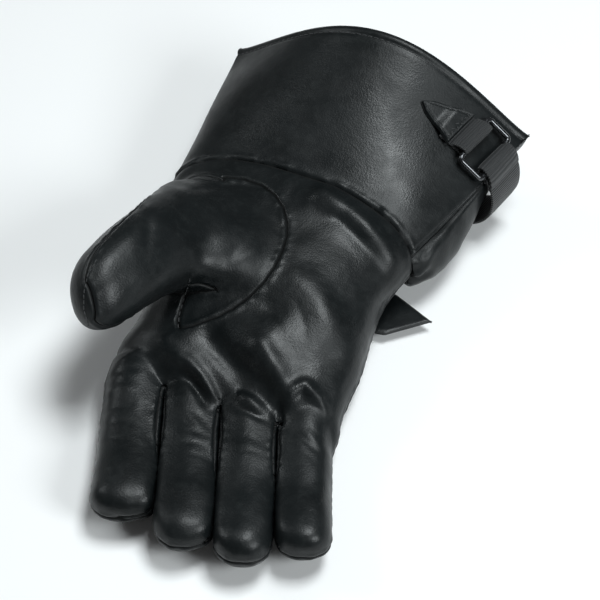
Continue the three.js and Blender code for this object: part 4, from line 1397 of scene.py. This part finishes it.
def make_tab(skin):
    """The leather tab, sewn on along its border, with its wide end over the webbing."""
    columns = 33
    share = np.concatenate([[0, .01, .025], np.linspace(.05, 1, 40)])[:, None]
    side = np.linspace(-1, 1, columns)[None]
    half = (WEBBING_WIDTH / 2 + LEATHER) * (.2 + .8 * share) * np.minimum(1, (share + .01) / .2) ** .5
    lift = REST + (WEBBING + 2 * REST) * smoothstep(share, .45, .7)
    reach = np.broadcast_to(TAB_EDGE - TAB_LENGTH * (1 - share), (len(share), columns))
    outer = on_cuff(reach, side * half, np.broadcast_to(lift + LEATHER * .9, reach.shape))
    n, away = sheet_facts(outer)
    border = ridge(away, TAB_SWELL) + ridge(away, TAB_GROOVE)
    outer = outer + n * (border + ridge(away, TAB_THINNING))[..., None]
    obj, n = cuff_sheet("tab_leather", outer, LEATHER * .85)
    finish(obj, skin, "glove_leather", "strap_tab")
    rows, last = np.arange(3, len(share) - 2), columns - 1
    from_border = TAB_GROOVE[0]
    for sign in (-1, 1):
        across = (sign * np.maximum(1 - from_border / half[rows, 0], 0) + 1) / 2 * last
        column = np.clip(np.round(across).astype(int), 0, last)
        sew(outer[rows, column], n[rows, column], .9, .24, .1)
    # The zigzag that holds the webbing under the tab.
    turns = 9
    zig = np.where(np.arange(turns) % 2 == 0, len(share) - 8, len(share) - 4)
    column = np.round(np.linspace(3, last - 3, turns)).astype(int)
    sew(outer[zig, column], n[zig, column], .9, .24)


def make_webbing(web):
    """The loop from the tab round one rod of the buckle, and the strap from the other rod round the cuff."""
    loop = [
        (TAB_EDGE - TAB_LENGTH * .25, LOW),
        (TAB_EDGE, LOW),
        *bend_round(-ROD_REACH, 1),
        (-ROD_REACH - BEND, ROD_HEIGHT + .8 * BEND),
        (TAB_EDGE + LEATHER, DOUBLED),
    ]
    strap = [
        (ROD_REACH + 2.2 * BEND, LOW),
        (ROD_REACH + 1.2 * BEND, LOW),
        *bend_round(ROD_REACH, -1),
        (ROD_REACH + 1.4 * BEND, ROD_HEIGHT + .9 * BEND),
        (ROD_REACH + 3 * BEND, DOUBLED),
        *[(reach_at(degrees), LOW + height * WEBBING) for degrees, height in STRAP_SWING],
    ]
    for name, solid, path in (
        ("loop_webbing", "buckle_loop", loop),
        ("strap_webbing", "cuff_strap", strap),
    ):
        points, faces, uv = band(path, WEBBING_WIDTH - .4, WEBBING)
        obj = make(name, points, faces, {"seam": np.zeros(len(points))}, uv)
        outwards(obj)
        finish(obj, web, "strap_webbing", solid)


def make_wrist_strap(skin):
    """The strap under the back of the hand, whose point shows past the little-finger side."""
    tip = np.array([.745 * PALM_WIDTH, .8 * PALM_LENGTH, .15 * PALM_HEIGHT])
    share = np.linspace(0, 1, 110)[:, None]
    back = (1 - share) * WRIST_STRAP_LENGTH
    half = WRIST_STRAP_WIDTH / 2 * np.clip(back / WRIST_STRAP_POINT, .04, 1)
    side = np.linspace(-1, 1, 27)[None]
    x, y = np.broadcast_arrays(tip[0] - back, tip[1] + side * half)
    at = np.clip(1 - y / PALM_LENGTH, 0, 1)
    turn = np.radians(along(HAND, "turn", at))
    across = (x - along(HAND, "side", at) * PALM_WIDTH) / np.cos(turn)
    station = np.clip(1 - (y - across * np.sin(turn)) / PALM_LENGTH, 0, 1)
    u = np.minimum(1, np.abs(across) / (along(HAND, "width", station) * PALM_WIDTH / 2))
    drop = along(HAND, "back", station) * (1 - u**SQUARE) ** (1 / SQUARE)
    under = (along(HAND, "seam", station) - drop) * PALM_HEIGHT
    top = np.maximum(WRIST_STRAP + REST, np.minimum(under - 2 * REST, tip[2] - .02 * back))
    obj, _ = cuff_sheet("wrist_strap_leather", np.stack([x, y, top], -1), WRIST_STRAP * .95)
    finish(obj, skin, "glove_leather", "wrist_strap")


def make_buckle(look):
    """A rectangular ring of rod, as wide as the webbing needs."""
    half_side = WEBBING_WIDTH / 2 + BUCKLE_SPARE + BUCKLE_ROD / 2
    near, far = on_cuff(-ROD_REACH, 0.0, ROD_HEIGHT), on_cuff(ROD_REACH, 0.0, ROD_HEIGHT)
    way = unit(far - near)
    side = unit(on_cuff(0.0, half_side, ROD_HEIGHT) - on_cuff(0.0, -half_side, ROD_HEIGHT))
    up = unit(np.cross(way, side))
    side = np.cross(up, way)
    # The ring is straight and the cuff is round, so its middle lies between its bars and the cuff's bulge.
    middle = mix(on_cuff(0.0, 0.0, ROD_HEIGHT), (far + near) / 2, .6)
    bpy.ops.object.select_all(action="DESELECT")
    bpy.ops.mesh.primitive_plane_add(size=1, location=(0, 0, 0))
    obj = bpy.context.object
    obj.name = "slide_ring"
    bpy.ops.object.mode_set(mode="EDIT")
    bpy.ops.mesh.select_all(action="SELECT")
    bpy.ops.transform.resize(value=(2 * ROD_REACH / 1000, 2 * half_side / 1000, 1))
    bpy.ops.mesh.bevel(offset=BUCKLE_SPARE / 1000, segments=6, affect="VERTICES")
    bpy.ops.mesh.select_all(action="SELECT")
    bpy.ops.mesh.delete(type="ONLY_FACE")
    bpy.ops.object.mode_set(mode="OBJECT")
    bpy.ops.object.convert(target="CURVE")
    obj = bpy.context.object
    obj.data.bevel_depth = BUCKLE_ROD / 2000
    obj.data.bevel_resolution = 5
    bpy.ops.object.convert(target="MESH")
    obj = bpy.context.object
    place = Matrix.Identity(4)
    for k, axis in enumerate((way, side, up)):
        place.col[k][:3] = axis
    place.col[3][:3] = to_scene(middle)
    obj.matrix_world = place
    select(obj)
    bpy.ops.object.transform_apply(location=True, rotation=True, scale=True)
    outwards(obj)
    finish(obj, finish_of("black_metal", metal, look), "buckle_metal", "slide_buckle")


def make_stitching(sizes, look):
    """All the stitches, as one piece."""
    points, faces = [], []
    length, pitch = sizes.stitch_length * 1000, sizes.stitch_pitch * 1000
    for line, normal, size, radius in SEWN:
        q, f = stitches(line, normal, length * size, pitch * size, radius)
        offset = sum(len(x) for x in points)
        points.append(q)
        faces += [tuple(k + offset for k in face) for face in f]
    points = np.vstack(points)
    obj = make("cuff_stitching", points, faces, {"seam": np.zeros(len(points))})
    select(obj)
    bpy.ops.object.shade_smooth()
    finish(obj, finish_of("black_thread", thread, look), "strap_webbing")


# The stage.

def turned_to(obj, target):
    """Points a lamp or the camera at a place."""
    obj.rotation_euler = (Vector(target) - obj.location).to_track_quat("-Z", "Y").to_euler()


def make_stage():
    """The floor, the lamps and the camera."""
    scene = bpy.context.scene
    bpy.ops.object.select_all(action="DESELECT")
    bpy.ops.mesh.primitive_plane_add(size=FLOOR_SIZE, location=(0, 0, -FLOOR_DROP))
    floor = bpy.context.object
    floor.name = "floor"
    material, _, shader = start_material("pale_floor", FLOOR_COLOUR, .9)
    shader.inputs["Specular IOR Level"].default_value = .1
    floor.data.materials.append(material)
    world = bpy.data.worlds.new("studio")
    world.use_nodes = True
    background = world.node_tree.nodes["Background"]
    background.inputs["Color"].default_value = (1, 1, 1, 1)
    background.inputs["Strength"].default_value = ROOM_LIGHT
    scene.world = world
    for name, place, size, power in LAMPS:
        light = bpy.data.lights.new(name, "AREA")
        light.shape, light.size, light.size_y, light.energy = "RECTANGLE", *size, power
        light.color = LAMP_COLOUR
        lamp = bpy.data.objects.new(name, light)
        scene.collection.objects.link(lamp)
        lamp.location = place
        turned_to(lamp, LAMP_TARGET)
    data = bpy.data.cameras.new("camera")
    data.lens, data.sensor_width = LENS, SENSOR
    camera = bpy.data.objects.new("camera", data)
    scene.collection.objects.link(camera)
    camera.location = to_scene(picture_axes()[0])
    turned_to(camera, [c / 1000 for c in LOOK_AT])
    scene.camera = camera
    scene.view_settings.view_transform = "Standard"


# The tools that a user sees.

class GLOVE_OT_hand(bpy.types.Operator):
    """Make the hand's leather panels: palm, back, finger strips and thumb"""
    bl_idname = "glove.hand"
    bl_label = "Make Hand"

    def execute(self, context):
        make_hand(context.scene.glove_sizes, context.scene.glove_look)
        return {"FINISHED"}


class GLOVE_OT_cuff(bpy.types.Operator):
    """Make the cuff's two panels and its gusset"""
    bl_idname = "glove.cuff"
    bl_label = "Make Cuff"

    def execute(self, context):
        make_cuff(context.scene.glove_sizes, context.scene.glove_look)
        return {"FINISHED"}


class GLOVE_OT_straps(bpy.types.Operator):
    """Make the tab, the webbing loop, the cuff strap and the wrist strap"""
    bl_idname = "glove.straps"
    bl_label = "Make Straps"

    def execute(self, context):
        look = context.scene.glove_look
        skin = finish_of("black_leather", leather, look)
        make_tab(skin)
        make_webbing(finish_of("black_webbing", woven, look))
        make_wrist_strap(skin)
        return {"FINISHED"}


class GLOVE_OT_buckle(bpy.types.Operator):
    """Make the metal ring that the strap runs through"""
    bl_idname = "glove.buckle"
    bl_label = "Make Buckle"

    def execute(self, context):
        make_buckle(context.scene.glove_look)
        return {"FINISHED"}


class GLOVE_OT_stitching(bpy.types.Operator):
    """Make the stitches on the thumb, the cuff and its tab"""
    bl_idname = "glove.stitching"
    bl_label = "Make Stitching"

    def execute(self, context):
        make_stitching(context.scene.glove_sizes, context.scene.glove_look)
        return {"FINISHED"}


class GLOVE_OT_stage(bpy.types.Operator):
    """Set the floor, the lights and the camera"""
    bl_idname = "glove.stage"
    bl_label = "Set Stage"

    def execute(self, context):
        make_stage()
        return {"FINISHED"}


OPERATORS = (
    GLOVE_OT_hand, GLOVE_OT_cuff, GLOVE_OT_straps, GLOVE_OT_buckle, GLOVE_OT_stitching, GLOVE_OT_stage,
)


class GLOVE_PT_panel(bpy.types.Panel):
    """The glove's sizes, colours and pieces"""
    bl_idname = "GLOVE_PT_panel"
    bl_label = "Gauntlet Glove"
    bl_space_type = "VIEW_3D"
    bl_region_type = "UI"
    bl_category = "Glove"

    def draw(self, context):
        for group in (context.scene.glove_sizes, context.scene.glove_look):
            for name in group.__annotations__:
                self.layout.prop(group, name)
        for operator in OPERATORS:
            self.layout.operator(operator.bl_idname)


CLASSES = (GloveSizes, GloveLook, *OPERATORS, GLOVE_PT_panel)


def register():
    """Adds the tools and their settings to Blender."""
    for made in CLASSES:
        bpy.utils.register_class(made)
    bpy.types.Scene.glove_sizes = bpy.props.PointerProperty(type=GloveSizes)
    bpy.types.Scene.glove_look = bpy.props.PointerProperty(type=GloveLook)


def unregister():
    """Takes them out again."""
    del bpy.types.Scene.glove_look
    del bpy.types.Scene.glove_sizes
    for made in reversed(CLASSES):
        bpy.utils.unregister_class(made)


def main():
    """Makes the whole glove and its stage."""
    register()
    bpy.ops.glove.hand()
    bpy.ops.glove.cuff()
    bpy.ops.glove.straps()
    bpy.ops.glove.buckle()
    bpy.ops.glove.stitching()
    bpy.ops.glove.stage()


if __name__ == "__main__":
    main()
